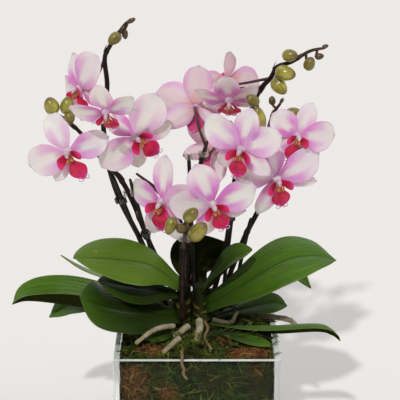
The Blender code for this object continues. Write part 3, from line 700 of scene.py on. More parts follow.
def bloom(name, centre, angles, size):
    seed = int(name[-2:]) * 17
    clay = Clay()
    own = OWN_SHAPES.get(name, {})
    tepal(clay, 0.0, seed, own.get("top", AS_USUAL), -TEPAL_LEVEL, **DORSAL)
    for side, word in ((-1, "left"), (1, "right")):
        tepal(clay, side * PETAL_TURN, seed + 2 + side, own.get(word, AS_USUAL), TEPAL_LEVEL, **PETAL)
        behind = own.get("low_" + word, AS_USUAL)
        tepal(clay, side * LATERAL_TURN, seed + 6 + side, behind, -TEPAL_LEVEL, **LATERAL)
    lip(clay, seed)
    column(clay)
    turn = facing(*angles)
    clay.points = [tuple(Vector(centre) + turn @ (Vector(p) * size)) for p in clay.points]
    made = clay.piece(name + "_bloom", [petal_finish, lip_finish, column_finish, throat_finish])
    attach(made, "root")
    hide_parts(name)
    return made


# %% Make every flower
blooms = [bloom(*flower) for flower in FLOWERS]
print("flowers:", len(blooms), "faces in one:", len(blooms[0].data.polygons))

# %% [markdown]
# ## Leaves
# Moth orchid leaves are thick and leathery, with a crease down the middle. Their tops are glossy green with
# faint lengthwise streaks and a thin pale edge; underneath they are a dull purplish olive. Each leaf
# follows its midrib, and its two halves rise from the crease by the fold angle.

# %% Leaf finish
leaf_finish, tree, shader = new_finish("leaf_gloss", 0.3, specular=0.14)
along, across = mark(tree, "along"), mark(tree, "across")
off_midrib = math_node(tree, "ABSOLUTE", across)
streak_place = joined(tree, times(tree, along, 1.2), times(tree, across, 9.0), mark(tree, "tint"))
streaks = speckle(tree, streak_place, 3.0, 5.0, 0.7)
green = blend(tree, remap(tree, streaks, 0.35, 0.7), (0.050, 0.135, 0.008), (0.105, 0.215, 0.014))
blotch = remap(tree, speckle(tree, spot(tree), 22.0, 3.0), 0.4, 0.7, 0.0, 0.55)
green = blend(tree, blotch, green, (0.034, 0.080, 0.006))
# Leaves with a high tone are painted lighter and yellower: painted light.
painted_light_share = remap(tree, mark(tree, "tint"), 0.5, 1.0, 0.0, 0.8)
green = blend(tree, painted_light_share, green, (0.15, 0.25, 0.020))
green = blend(tree, times(tree, remap(tree, off_midrib, 0.075, 0.0), 0.75), green, (0.030, 0.080, 0.006))
green = blend(tree, times(tree, remap(tree, off_midrib, 0.972, 0.995), 0.55), green, (0.30, 0.36, 0.12))
scar = remap(tree, speckle(tree, spot(tree), 130.0, 3.0), 0.66, 0.74)
scar = times(tree, scar, remap(tree, along, 0.55, 0.9))
green = blend(tree, times(tree, scar, 0.7), green, (0.30, 0.20, 0.07))
# Leaves with a low tone, and every leaf towards its base, are painted nearly black: painted shade inside the
# plant.
shade = remap(tree, plus(tree, mark(tree, "tint"), times(tree, along, 0.75)), 0.35, 0.95, 0.10, 1.0)
green = blend(tree, shade, (0.014, 0.026, 0.003), green)
dull = blend(tree, remap(tree, streaks, 0.35, 0.7), (0.016, 0.028, 0.004), (0.026, 0.018, 0.007))
dull = blend(tree, remap(tree, off_midrib, 0.10, 0.0, 0.0, 0.7), dull, (0.040, 0.046, 0.012))
paint(tree, shader, use_group(tree, two_sided, Above=green, Underneath=dull)["Colour"])
wire(tree, remap(tree, mark(tree, "front"), 0.3, 0.7, 0.0, 0.14), shader.inputs["Specular IOR Level"])
wire(tree, remap(tree, streaks, 0.3, 0.8, 0.24, 0.42), shader.inputs["Roughness"])
ribs = use_group(tree, veins, Count=16.0, Wander=0.06, Sharpness=1.5)["Lines"]
add_bump(tree, shader, plus(tree, ribs, times(tree, streaks, 2.0)), 0.35, 0.0003)

# %% Leaf measures, shared with the frame
# name, midrib, which way is up at the base and at the tip, half width, fold in degrees, tone from dark
# to light (low tones get painted shade and high tones painted light), and how pointed the tip is
LEAF_THICKNESS = 1.5
LEAVES = (
    ("leaf_left_upper", ((-13, -4, 156), (-34, -14, 175), (-60, -27, 185), (-87, -40, 191)),
     (0.05, -0.5, 0.88), (-0.1, -0.35, 0.93), 24, 6, 0.75, 0.0),
    ("leaf_left_long",
     ((-18, -3, 126), (-40, 1, 128), (-70, 6, 131), (-104, 8, 136), (-127, 4, 140), (-139, 2, 137)),
     (0, 0, 1), (0.2, -0.1, 1), 24, 66, 0.42, 0.7),
    ("leaf_left_lower", ((-14, -8, 132), (-42, -22, 141), (-66, -38, 153), (-83, -46, 163)),
     (0, -0.45, 0.9), (-0.3, -0.5, 0.8), 26, 8, 0.0, 0.1),
    ("leaf_left_middle", ((-15, -3, 147), (-42, -14, 157), (-72, -22, 166)),
     (0, -0.3, 0.95), (0, -0.3, 0.95), 19, 10, 0.0, 0.3),
    ("leaf_left_back", ((-30, 27, 136), (-60, 34, 142), (-87, 40, 150), (-106, 44, 160)),
     (0, 0.3, 0.95), (0, 0.4, 0.92), 13, 8, 0.8, 0.8),
    ("leaf_left_drooping", ((-28, 22, 125), (-75, 27, 126), (-98, 25, 126), (-114, 21, 118)),
     (0, -0.2, 1), (0.3, -0.2, 1), 17, 22, 0.2, 1.0),
    ("leaf_left_small", ((-14, -19, 124.5), (-26, -26, 124.5), (-38, -33, 124.5)),
     (0, -0.3, 0.95), (0, -0.2, 1), 8, 10, 0.15, 0.5),
    ("leaf_right_upper", ((7, -8, 141), (33, -14, 159), (61, -19, 179.5), (84, -20, 185), (101, -20, 181)),
     (-0.3, -0.5, 0.8), (0.1, -0.1, 1), 28, 9, 0.45, 0.6),
    ("leaf_right_back", ((22, 26, 142), (50, 28, 157), (71, 25, 160), (87, 21, 142)),
     (0, -0.3, 1), (0.5, -0.4, 0.8), 15, 12, 0.3, 0.9),
    ("leaf_right_short", ((15, 0, 128), (40, 2, 134), (57, 4, 137), (68, 4, 135)),
     (-0.2, -0.2, 1), (0.2, -0.2, 1), 13, 14, 0.3, 0.5),
    ("leaf_right_long",
     ((11, -10, 125), (34, -17, 124.5), (58, -20, 124.5), (89, -22, 127), (100, -22, 124), (106, -22, 118)),
     (0, 0.2, 1), (0.4, 0.1, 0.9), 11, 30, 0.6, 0.6),
    ("leaf_right_low", ((13, -22, 125), (33, -30, 124), (54, -38, 122)),
     (0, -0.2, 1), (0, 0.1, 1), 8, 12, 0.2, 0.3),
    ("leaf_centre_curled", ((5, -7, 151), (16, -12, 166), (29, -16, 181), (40, -18, 189)),
     (-0.6, -0.2, 0.7), (-0.2, -0.2, 1), 14, 40, 0.05, 0.2),
    ("leaf_centre_upright", ((4.5, 9.5, 146), (2, 23, 155), (4, 29, 169), (22, 26, 178)),
     (0.1, 0.9, 0.3), (0.2, 0.75, 0.6), 23, 8, 0.2, 0.2),
)


# %% One leaf
def leaf_share(u, sharp):
    if u < 0.55:
        return 0.3 + 0.7 * ease(0.0, 0.55, u)
    s = (u - 0.55) / 0.45
    return (1 - s ** (2.3 - 0.5 * sharp)) ** (0.72 + 0.4 * sharp) * 0.99 + 0.01


def leaf(name, midrib, up_base, up_tip, half_width, fold, tone, sharp):
    chance = random.Random(name)
    phase, depth = chance.uniform(0, 6.3), chance.uniform(0.5, 1.1)

    def place(v, u):
        centre = curve_point(midrib, u)
        forward = curve_direction(midrib, u)
        up = Vector(up_base).lerp(Vector(up_tip), u)
        side = forward.cross(up).normalized()
        up = side.cross(forward).normalized()
        reach = half_width * leaf_share(u, sharp)
        rise = math.radians(fold * (1 - 0.4 * u))
        lift = reach * (abs(v) * math.sin(rise) - 0.12 * v * v)
        lift -= 0.9 * math.exp(-((v / 0.07) ** 2)) * ease(0.02, 0.15, u) * ease(1.0, 0.75, u)
        lift += depth * math.sin(5.0 * u + phase + 1.5 * v) * abs(v) ** 2 * ease(0.1, 0.4, u)
        return centre + side * (v * reach * math.cos(rise)) + up * lift

    clay = Clay()
    sheet_shell(clay, place, 44, 21, LEAF_THICKNESS, tint=tone)
    made = clay.piece(name + "_blade", [leaf_finish])
    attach(made, "root")
    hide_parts(name)


for shape in LEAVES:
    leaf(*shape)
print("leaves:", len(LEAVES))

# %% [markdown]
# ## Spikes and buds
# A flower spike is a purple-brown stem that thickens at each joint, where a small scale clasps it. It turns
# greener towards its tip. Buds are eggs with three grooves, where the closed sepals meet.

# %% Stem and bud finishes
stem_finish, tree, shader = new_finish("stem_dark", 0.42, specular=0.2)
bark = clouds(tree, (0.008, 0.004, 0.003), (0.034, 0.015, 0.010), 210.0, 0.8)
tone = blend(tree, remap(tree, mark(tree, "tint"), 0.5, 1.0), bark["Colour"], (0.060, 0.036, 0.018))
paint(tree, shader, tone)
add_bump(tree, shader, bark["Mask"], 0.2)

stalk_finish, tree, shader = new_finish("stalk_olive", 0.4, soft=0.05)
skin = clouds(tree, (0.060, 0.034, 0.014), (0.050, 0.016, 0.014), 190.0, 0.8)
blush = blend(tree, remap(tree, mark(tree, "along"), 0.5, 1.0, 0.0, 0.8), skin["Colour"], (0.34, 0.19, 0.13))
paint(tree, shader, blush)
add_bump(tree, shader, skin["Mask"], 0.15)

bud_finish, tree, shader = new_finish("bud_olive", 0.3, coat=0.25, soft=0.08, reach=0.002)
along = mark(tree, "along")
skin = clouds(tree, (0.46, 0.42, 0.060), (0.20, 0.17, 0.020), 150.0, 0.8)
warm = blend(tree, remap(tree, mark(tree, "tint"), 0.95, 0.15), skin["Colour"], (0.085, 0.045, 0.014))
warm = blend(tree, remap(tree, along, 0.25, 0.0, 0.0, 0.5), warm, (0.16, 0.11, 0.03))
warm = blend(tree, remap(tree, along, 0.78, 1.0, 0.0, 0.7), warm, (0.12, 0.05, 0.018))
groove = math_node(tree, "SINE", times(tree, mark(tree, "across"), 1.5 * math.pi))
groove = math_node(tree, "ABSOLUTE", groove)
warm = blend(tree, remap(tree, groove, 0.16, 0.0, 0.0, 0.85), warm, (0.09, 0.07, 0.015))
paint(tree, shader, warm)
add_bump(tree, shader, skin["Mask"], 0.12)

# %% Spike measures, shared with the frame
SPIKES = (
    ("spike_1",
     ((-23, 17, 129), (-31, 15, 152), (-41, 12.5, 182), (-58, 12.5, 219), (-66, 13, 250), (-68, 16, 278),
      (-65, 20, 301), (-66, 16, 322), (-62, 12, 332), (-56, 10, 341), (-50, 10, 349), (-44, 8, 353)),
     ((0.52, "flower_04"), (0.45, "flower_02"), (0.66, "flower_03")),
     ((0.84, (-58, 6, 339), (-0.6, -0.3, -0.5), 10, 8), (0.93, (-51, 12, 341), (0.1, 0.1, -1), 7, 4.5),
      (0.99, (-46, 8, 351.5), (0.8, -0.1, 0.4), 6, 3.4))),
    ("spike_2",
     ((-14, 9.5, 132), (-23, 11, 155), (-35, 11, 182), (-47, 10, 215), (-56, 4, 236), (-68, 3, 250),
      (-80, 4, 266), (-91, 4, 278), (-98, 2, 284)),
     ((0.72, "flower_01"),),
     ((0.97, (-103, -5, 293), (-0.3, -0.2, 1), 12, 10.5), (0.9, (-92, -4, 293), (0.2, 0, 1), 12, 9.5),
      (0.86, (-90, -8, 285), (0.2, -0.4, -0.7), 8, 7.5))),
    ("spike_3",
     ((-10.5, -12.5, 131), (-11, -14, 157), (-10.5, -14, 181), (-9.5, -12, 196), (-12, -7, 206),
      (-20, 0, 217), (-30, 2, 229), (-44, 3, 240)),
     ((0.72, "flower_05"), (0.5, "flower_12")),
     ((0.46, (1, -51, 215), (0.6, -0.4, 0.8), 17, 11), (None, (-4, -50, 227), (0.5, -0.2, 0.6), 12, 9),
      (None, (-11, -52, 218), (-0.2, -0.6, 0.4), 8, 7), (None, (-18, -50, 219), (-0.3, -0.2, -0.8), 12, 8))),
    ("spike_4",
     ((-6, 9.5, 131), (-7, 12, 157), (-6, 15, 195), (2, 15, 240), (5, 15, 252), (8, 14, 262)),
     ((0.9, "flower_06"), (0.62, "flower_13")),
     ((0.99, (9.5, 13, 266), (0.3, -0.2, 1), 7, 4.5),)),
    ("spike_5",
     ((16, 13, 131), (34, 14, 182), (45, 12, 207), (54, 12, 226), (57, 12, 248), (52, 10, 268),
      (55, 8, 283), (60, 6, 292)),
     ((0.5, "flower_11"), (0.62, "flower_10")),
     ((0.72, (39, -16, 300), (-0.7, -0.2, 0.6), 10, 8), (0.78, (43, -21, 287), (-0.1, -0.3, 1), 19, 11),
      (0.88, (69, 4, 285), (0.9, -0.2, 0.3), 11, 8.5), (0.93, (54, 6, 294), (-0.1, 0, 1), 6, 5),
      (0.99, (61, 6, 294), (0.5, 0, 0.9), 4, 2.6))),
    ("spike_6",
     ((10, 15, 131), (22, 16, 180), (28, 15, 231), (34, 19, 249), (39, 24, 277), (45, 20, 297),
      (53, 16, 308), (58, 14, 317), (68, 12, 321), (80, 10, 329), (91, 8, 332)),
     ((0.34, "flower_09"), (0.5, "flower_08"), (0.6, "flower_07")),
     ((0.8, (66, 6, 327), (0.6, -0.3, 0.1), 10.5, 8.5), (0.88, (80, 6, 321), (0.3, -0.2, 0.9), 9.5, 8),
      (0.95, (87, 7, 326), (0.5, -0.1, 0.1), 6, 4.6), (0.76, (63, 4, 314.5), (0.7, -0.3, -0.1), 14, 10.5),
      (0.72, (59, 8, 304), (0.5, -0.3, -0.5), 13, 10), (0.99, (91, 8, 333), (0.8, 0, 0.3), 4.5, 3))),
)
SPIKE_RADIUS, TIP_RADIUS, STALK_RADIUS = 2.0, 0.9, 0.9
STEM_SIDES = 14
HEART_CENTRE, HEART_RADIUS, STALK_STRAIGHT, GAP = Vector((0, -0.6, 0.6)), 3.2, 3.0, 0.4


# %% A bud with three grooves
def bud(clay, centre, direction, length, width, tint):
    def profile(t, a):
        groove = abs(math.sin(1.5 * (a - math.pi)))
        return width / 2 * (1.18 - 0.30 * t) * (0.90 + 0.10 * min(1.0, groove * 3.0))

    egg(clay, centre, direction, length * 1.1, profile, rows=18, sides=36, slot=1, tint=tint)


def bow(start, end, sag, count=10):
    """Points along a stalk that bows downwards between its ends."""
    shares = [i / (count - 1) for i in range(count)]
    return [start.lerp(end, share) + sag * math.sin(math.pi * share) for share in shares]


# %% One spike
def flower_stalk(t, a):
    return STALK_RADIUS * (1.25 - 0.3 * math.sin(math.pi * t))


def bud_stalk(t, a):
    return STALK_RADIUS * (1.0 + 0.25 * abs(2 * t - 1))


def spike(name, stem, stalks, buds):
    chance = random.Random(name)
    clay = Clay()
    joints = [chance.uniform(-0.02, 0.02) + (k + 1) / 6 for k in range(5)]

    def thickness(t, a):
        swell = sum(math.exp(-(((t - j) / 0.008) ** 2)) for j in joints)
        return (SPIKE_RADIUS + (TIP_RADIUS - SPIKE_RADIUS) * t**3) * (1 + 0.24 * swell)

    count = 120
    rod(clay, curve_points(stem, count), thickness, sides=STEM_SIDES, tint=0.35)
    for j in joints:
        at, ahead = curve_point(stem, j), curve_direction(stem, j)
        lean = ahead.orthogonal().normalized()
        forward, sideways = math.cos(chance.uniform(0, 6.3)), math.sin(chance.uniform(0, 6.3))
        lean = (lean * forward + ahead.cross(lean) * sideways).normalized()
        wide = thickness(j, 0)

        def scale(v, u):
            across = ahead.cross(lean)
            spread = v * 1.1 * (1 - u) ** 0.8
            out = lean * math.cos(spread) + across * math.sin(spread)
            return at + out * (wide * (1.04 + 0.12 * u)) + ahead * (u * 7.0 - 0.6)

        sheet_shell(clay, scale, 8, 7, 0.35, slot=2, ends=(0.0, 0.97))
    for share, flower in stalks:
        _, centre, angles, size = next(f for f in FLOWERS if f[0] == flower)
        turn = facing(*angles)
        front = turn @ Vector((0, 0, 1))
        end = Vector(centre) + turn @ HEART_CENTRE * size - front * (HEART_RADIUS * size - 0.3)
        behind = end - front * STALK_STRAIGHT
        start = curve_point(stem, share)
        elbow = behind.lerp(start, 0.4) - front * 0.15 * (start - behind).length
        rod(clay, curve_points((start, elbow, behind, end), 22), flower_stalk, sides=10, slot=2)
    low = Vector()
    for share, centre, direction, length, width in buds:
        start = low if share is None else curve_point(stem, share)
        low = Vector(centre) - Vector(direction).normalized() * length * 0.45
        sag = Vector((0, 0, -0.12)) * (low - start).length
        rod(clay, bow(start, low, sag), bud_stalk, sides=9, slot=2)
        bud(clay, centre, direction, length, width, ease(3.5, 10.5, width) * chance.uniform(0.6, 1.0))
    made = clay.piece(name + "_growth", [stem_finish, bud_finish, stalk_finish])
    values = np.zeros(len(made.data.vertices))
    made.data.attributes["tint"].data.foreach_get("value", values)
    along = np.zeros(len(values))
    made.data.attributes["along"].data.foreach_get("value", along)
    ring = STEM_SIDES * count
    values[:ring] = 0.25 + 0.7 * along[:ring] ** 2
    made.data.attributes["tint"].data.foreach_set("value", values)
    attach(made, "root")
    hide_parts(name)


for growth in SPIKES:
    spike(*growth)
print("spikes:", len(SPIKES))

# %% [markdown]
# ## Stakes and clips
# Thin dark stakes hold the spikes up, and springy plastic clips tie each spike to its stake. A clip is one
# strip that hooks round the stake, crosses over and hooks round the spike. Three clips are black and three
# are clear, gone slightly milky.

# %% Stake and clip finishes
stake_finish, tree, shader = new_finish("stake_dark", 0.5, specular=0.2)
coating = clouds(tree, (0.010, 0.009, 0.008), (0.028, 0.022, 0.017), 160.0, 0.7)
paint(tree, shader, coating["Colour"])
add_bump(tree, shader, coating["Mask"], 0.1)

clip_black_finish, tree, shader = new_finish("clip_black", 0.35, coat=0.2)
scuff = clouds(tree, (0.012, 0.012, 0.013), (0.035, 0.034, 0.034), 300.0, 0.6)
paint(tree, shader, scuff["Colour"])
wire(tree, remap(tree, scuff["Mask"], 0.0, 1.0, 0.3, 0.45), shader.inputs["Roughness"])

clip_clear_finish, tree, shader = new_finish("clip_milky", 0.2, coat=0.3)
shader.inputs["Transmission Weight"].default_value = 0.9
shader.inputs["IOR"].default_value = 1.25
haze = clouds(tree, (0.86, 0.82, 0.80), (0.72, 0.66, 0.64), 260.0, 0.7)
paint(tree, shader, haze["Colour"])
wire(tree, remap(tree, haze["Mask"], 0.0, 1.0, 0.15, 0.3), shader.inputs["Roughness"])

# %% Stakes
STAKE_RADIUS, STAKE_DEPTH = 1.4, 70.0
STAKES = (
    ("stake_1", (-17, 12.5, 115), (-62.5, 6, 240)),
    ("stake_2", (-20, 6, 123), (-49, 4.5, 236)),
    ("stake_3", (-1, 8, 121), (-6, 9, 253)),
    ("stake_4", (17, 8, 119), (29, 8, 234)),
    ("stake_5", (24, 12.5, 123), (40, 6, 205)),
)


def stake_ends(foot, head):
    direction = (Vector(head) - Vector(foot)).normalized()
    return Vector(foot) - direction * STAKE_DEPTH, Vector(head), direction


def stake_girth(t, a):
    return STAKE_RADIUS * (1 - 0.35 * ease(0.985, 1.0, t)) * (1 + 0.015 * math.sin(7 * a))


for name, foot, head in STAKES:
    start, end, direction = stake_ends(foot, head)
    clay = Clay()
    path = [start.lerp(end - direction * 0.7, i / 39) for i in range(40)]
    rod(clay, path, stake_girth, sides=16)
    made = clay.piece(name + "_rod", [stake_finish])
    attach(made, "root")
    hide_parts(name)

# %% Clips
CLIPS = (
    ("clip_1", "stake_1", "spike_1", 0.82, False),
    ("clip_2", "stake_2", "spike_2", 0.9, True),
    ("clip_3", "stake_2", "spike_2", 0.60, False),
    ("clip_4", "stake_3", "spike_4", 0.985, True),
    ("clip_5", None, "spike_3", 0.42, True),
    ("clip_6", "stake_4", "spike_6", 0.74, False),
)
CLIP_HEIGHT, CLIP_WALL, CLIP_WRAP = 4.0, 1.0, math.radians(290)
STAKE_RING = STAKE_RADIUS + GAP + CLIP_WALL / 2
SPIKE_RING = SPIKE_RADIUS + 2 * GAP + CLIP_WALL / 2
STEMS = {growth[0]: growth[1] for growth in SPIKES}
STAKE_LINES = {name: stake_ends(foot, head) for name, foot, head in STAKES}


def clip_curve(reach, s):
    """The clip's middle line for s from 0 to 1: round the spike, straight across, round the stake."""
    cross = math.acos(min(1.0, (STAKE_RING + SPIKE_RING) / reach))
    if s < 0.47:
        a = math.pi + cross + CLIP_WRAP * (1 - s / 0.47)
        return reach + SPIKE_RING * math.cos(a), SPIKE_RING * math.sin(a)
    if s > 0.53:
        a = cross + CLIP_WRAP * (s - 0.53) / 0.47
        return STAKE_RING * math.cos(a), STAKE_RING * math.sin(a)
    first, last = clip_curve(reach, 0.4699), clip_curve(reach, 0.5301)
    f = (s - 0.47) / 0.06
    return first[0] + (last[0] - first[0]) * f, first[1] + (last[1] - first[1]) * f


def clip(name, stake, spike_name, share, clear):
    stem = curve_points(STEMS[spike_name], 200)
    if stake:
        start, end, direction = STAKE_LINES[stake]
        middle = (start + direction * STAKE_DEPTH).lerp(end, share)
    else:
        direction = curve_direction(STEMS[spike_name], share)
        middle = curve_point(STEMS[spike_name], share) + Vector((STAKE_RING + SPIKE_RING, 0, 0))
    nearest = min(stem, key=lambda point: abs((point - middle).dot(direction)))
    arm = nearest - middle
    arm -= direction * arm.dot(direction)
    reach = max(arm.length, STAKE_RING + SPIKE_RING)
    arm.normalize()
    other = direction.cross(arm)
    clay = Clay()
    rows, sides = 70, 16
    half_width, half_wall = CLIP_HEIGHT / 2, CLIP_WALL / 2
    outline = []
    for k in range(sides):
        a = 2 * math.pi * k / sides
        c, d = math.cos(a), math.sin(a)
        along, thick = math.copysign(abs(c) ** 0.4, c), math.copysign(abs(d) ** 0.6, d)
        outline.append((half_width * along, half_wall * thick))
    points = [Vector((*clip_curve(reach, i / (rows - 1)), 0)) for i in range(rows)]
    rings = []
    for i, p in enumerate(points):
        ahead = (points[min(i + 1, rows - 1)] - points[max(i - 1, 0)]).normalized()
        out = Vector((ahead.y, -ahead.x, 0))
        shrink = 1 - 0.3 * ease(0.94, 1.0, abs(2 * i / (rows - 1) - 1))
        for along, thick in outline:
            local = p + out * thick
            rings.append(middle + arm * local.x + other * local.y + direction * (along * shrink))
    marks = [(i / len(rings), 0.0, 1.0, 0.5) for i in range(len(rings))]
    clay.take(rings, ring_faces(rows, sides) + flat_ends(rows, sides), 0, marks)
    made = clay.piece(name + "_strip", [clip_clear_finish if clear else clip_black_finish])
    right_way_out(made)
    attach(made, "root")
    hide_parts(name)


def right_way_out(made):
    """Turn every face of a closed shape outwards."""
    shape = bmesh.new()
    shape.from_mesh(made.data)
    bmesh.ops.recalc_face_normals(shape, faces=shape.faces)
    shape.to_mesh(made.data)
    shape.free()


for strip in CLIPS:
    clip(*strip)
print("stakes:", len(STAKES), "clips:", len(CLIPS))

# %% [markdown]
# ## Crowns and roots
# A crown is the short stem that all the leaves grow from. It is hidden in the bases of old leaves, which
# clasp it one over another. Aerial roots leave it, silvery grey where they are dry, and dive into the moss.

# %% Crown finish
crown_finish, tree, shader = new_finish("crown_green", 0.5, specular=0.1)
along = mark(tree, "along")
base = clouds(tree, (0.070, 0.080, 0.018), (0.045, 0.030, 0.014), 90.0, 0.8)
# Nearly black towards the top of the core and of each sheath: painted shade under the leaves.
tone = blend(tree, remap(tree, along, 0.30, 0.75), base["Colour"], (0.014, 0.018, 0.004))
tone = blend(tree, remap(tree, along, 0.40, 0.05, 0.0, 0.9), tone, (0.24, 0.25, 0.040))
lines = use_group(tree, veins, Count=14.0, Wander=0.1, Sharpness=2.0)["Lines"]
tone = blend(tree, times(tree, lines, 0.25), tone, (0.020, 0.024, 0.008))
paint(tree, shader, tone)
add_bump(tree, shader, lines, 0.4)

# %% Crowns
MOSS_HALF, MOSS_EDGE, MOSS_RISE = 56.0, 118.5, 5.0


def moss_height(x, y):
    rise = max(0.0, 1 - (x / MOSS_HALF) ** 2) * max(0.0, 1 - (y / MOSS_HALF) ** 2)
    return MOSS_EDGE + MOSS_RISE * rise


def crown(name, centre, top, low, high):
    x, y = centre
    base = moss_height(x, y)
    clay = Clay()
    line = [Vector((x, y, base - 9 + (top - base + 9) * i / 29)) for i in range(30)]

    def core(t, a):
        girth = low * (0.8 + 0.2 * ease(0, 0.2, t)) * (1 - t) + high * t
        return girth * 1.05 * (1 + 0.05 * math.sin(3 * a + 4 * t))

    rod(clay, line, core, sides=20, tint=0.4)
    chance = random.Random(name)
    for k in range(7):
        turn = math.pi * k + chance.uniform(-0.5, 0.5)
        foot = base - 4 + k * 3.4
        tall = chance.uniform(8, 11)
        r0 = low * (1.08 - 0.02 * k)

        def sheath(v, u):
            a = turn + 1.45 * v * (1 - 0.35 * u)
            r = r0 * (0.96 + 0.28 * u * u + 0.06 * abs(v))
            return Vector((x + r * math.cos(a), y + r * math.sin(a), foot + tall * u * (1 - 0.3 * v * v)))

        sheet_shell(clay, sheath, 10, 15, 0.5, tint=chance.random())
    made = clay.piece(name + "_sheaths", [crown_finish])
    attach(made, "root")
    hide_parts(name)


crown("crown_left", (-10, 0), 154, 6.0, 5.0)
crown("crown_right", (3.5, 0), 154, 6.6, 5.0)

# %% Root finish
root_finish, tree, shader = new_finish("root_silver", 0.75, soft=0.05)
silver = clouds(tree, (0.40, 0.35, 0.22), (0.24, 0.20, 0.11), 170.0, 0.9)
tone = blend(tree, remap(tree, mark(tree, "tint"), 0.15, 0.5), silver["Colour"], (0.075, 0.065, 0.040))
tone = blend(tree, remap(tree, mark(tree, "tint"), 0.55, 0.8), tone, (0.22, 0.13, 0.055))
ring_place = joined(tree, times(tree, mark(tree, "along"), 40.0), 0.0, mark(tree, "tint"))
rings = remap(tree, speckle(tree, ring_place, 1.0, 2.0), 0.55, 0.75)
tone = blend(tree, times(tree, rings, 0.55), tone, (0.18, 0.14, 0.085))
tone = blend(tree, remap(tree, mark(tree, "along"), 0.9, 1.0, 0.0, 0.6), tone, (0.24, 0.24, 0.09))
paint(tree, shader, tone)
add_bump(tree, shader, plus(tree, silver["Mask"], rings), 0.5)

# %% Roots
# name, course, radius, and brownness from 0 for silver to 1
ROOTS = (
    ("root_left", ((-17, -22, 130), (-27, -33, 133.5), (-35, -40, 132.5), (-44, -44, 126.5)), 1.7, 0.1),
    ("root_stub", ((-6.5, -17, 127.5), (-11, -22, 126), (-16.5, -27, 124)), 2.2, 0.0),
    ("root_front_left", ((-13, -32, 124.4), (-18, -39, 123.2), (-24, -49, 121.4)), 1.9, 0.1),
    ("root_front", ((2, -11, 129), (2, -18, 127.2), (1, -26, 124.8), (0, -33, 122)), 2.5, 0.0),
    ("root_brown", ((6, -10, 128), (8, -18, 126), (6, -30, 124.3), (10.5, -44, 121.6)), 1.0, 0.95),
    ("root_right_loop", ((12, -7, 128.5), (19, -9, 127.5), (26, -10.5, 128), (30, -9, 136)), 1.5, 0.4),
    ("root_right_long", ((30, 12, 125), (42, 11, 124.4), (60, 8, 123.6), (70, 5, 122.8), (75, 3, 119.5)),
     2.0, 0.27),
    ("root_over_rim", ((-11, -50, 123), (-10.5, -58, 122.9), (-10.6, -62.7, 119), (-9.2, -62.4, 115),
                       (-9.4, -62.5, 111), (-7.2, -62.2, 107)), 0.95, 0.75),
)


def root(name, points, radius, brown):
    seed = len(name) * 3.7

    def girth(t, a):
        lump = noise.noise(Vector((math.cos(a) * 0.8, math.sin(a) * 0.8, t * 14 + seed)))
        return radius * 1.22 * (1.0 - 0.22 * t) * (0.97 + 0.18 * lump)

    clay = Clay()
    rod(clay, curve_points(points, 60), girth, sides=16, tint=brown)
    made = clay.piece(name + "_root", [root_finish])
    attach(made, "root")
    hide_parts(name)


for growth in ROOTS:
    root(*growth)
print("roots:", len(ROOTS))

# %% [markdown]
# ## Moss
# The vase is packed with green sheet moss and orange-brown coconut fibre. A dark lumpy block fills the
# middle. Geometry Nodes then scatter thousands of bent fibres over its top and against the glass. One tree
# serves every patch; its inputs set how many fibres there are, how large they are and the seed.

# %% Moss finishes
moss_finish, tree, shader = new_finish("moss_block", 0.95, specular=0.1)
# Very dark: partly the moss's own deep colour, partly painted shade deep between the fibres.
dark_moss_and_shade = clouds(tree, (0.012, 0.020, 0.006), (0.035, 0.020, 0.008), 70.0, 0.9)
paint(tree, shader, dark_moss_and_shade["Colour"])
add_bump(tree, shader, speckle(tree, spot(tree), 500.0, 4.0), 0.9, 0.001)


def fibre_finish(name, roughness, specular, light_at, light, pale_from, pale, dark, shade=None):
    """Fibres run from dark to light with their tint, and a few are pale; shade darkens them in patches."""
    made, tree, shader = new_finish(name, roughness, specular=specular)
    tint = mark(tree, "tint")
    colour = blend(tree, remap(tree, tint, 0.0, light_at), dark, light)
    colour = blend(tree, remap(tree, tint, pale_from, 1.0), colour, pale)
    if shade:
        scale, detail, low, high, most, tone = shade
        patches = remap(tree, speckle(tree, spot(tree), scale, detail), low, high, 0.0, most)
        colour = blend(tree, patches, colour, tone)
    paint(tree, shader, colour)
    return made


strand_finish = fibre_finish(
    "moss_strand", 0.8, 0.25, 0.85, (0.120, 0.165, 0.014), 0.78, (0.30, 0.33, 0.06), (0.010, 0.018, 0.002),
    shade=(38.0, 3.0, 0.42, 0.62, 0.7, (0.020, 0.026, 0.007)),
)
coir_finish = fibre_finish(
    "coir_fibre", 0.7, 0.2, 0.75, (0.34, 0.140, 0.038), 0.75, (0.58, 0.36, 0.14), (0.050, 0.015, 0.005)
)
# The moss against the glass walls is a darker copy of the top moss: painted shade.
shaded_moss_finish = fibre_finish(
    "moss_walls_shaded", 0.9, 0.1, 0.9, (0.050, 0.074, 0.006), 0.86, (0.17, 0.18, 0.030), (0.005, 0.009, 0.001),
    shade=(30.0, 4.0, 0.45, 0.60, 0.8, (0.022, 0.016, 0.007)),
)
# The coir against the glass walls is a darker copy of the top coir: painted shade.
shaded_coir_finish = fibre_finish(
    "coir_walls_shaded", 0.8, 0.1, 0.9, (0.19, 0.075, 0.018), 0.88, (0.42, 0.24, 0.07), (0.026, 0.008, 0.002)
)

# %% The moss block
MOSS_SIDE, MOSS_FLOOR = 55.2, 8.8


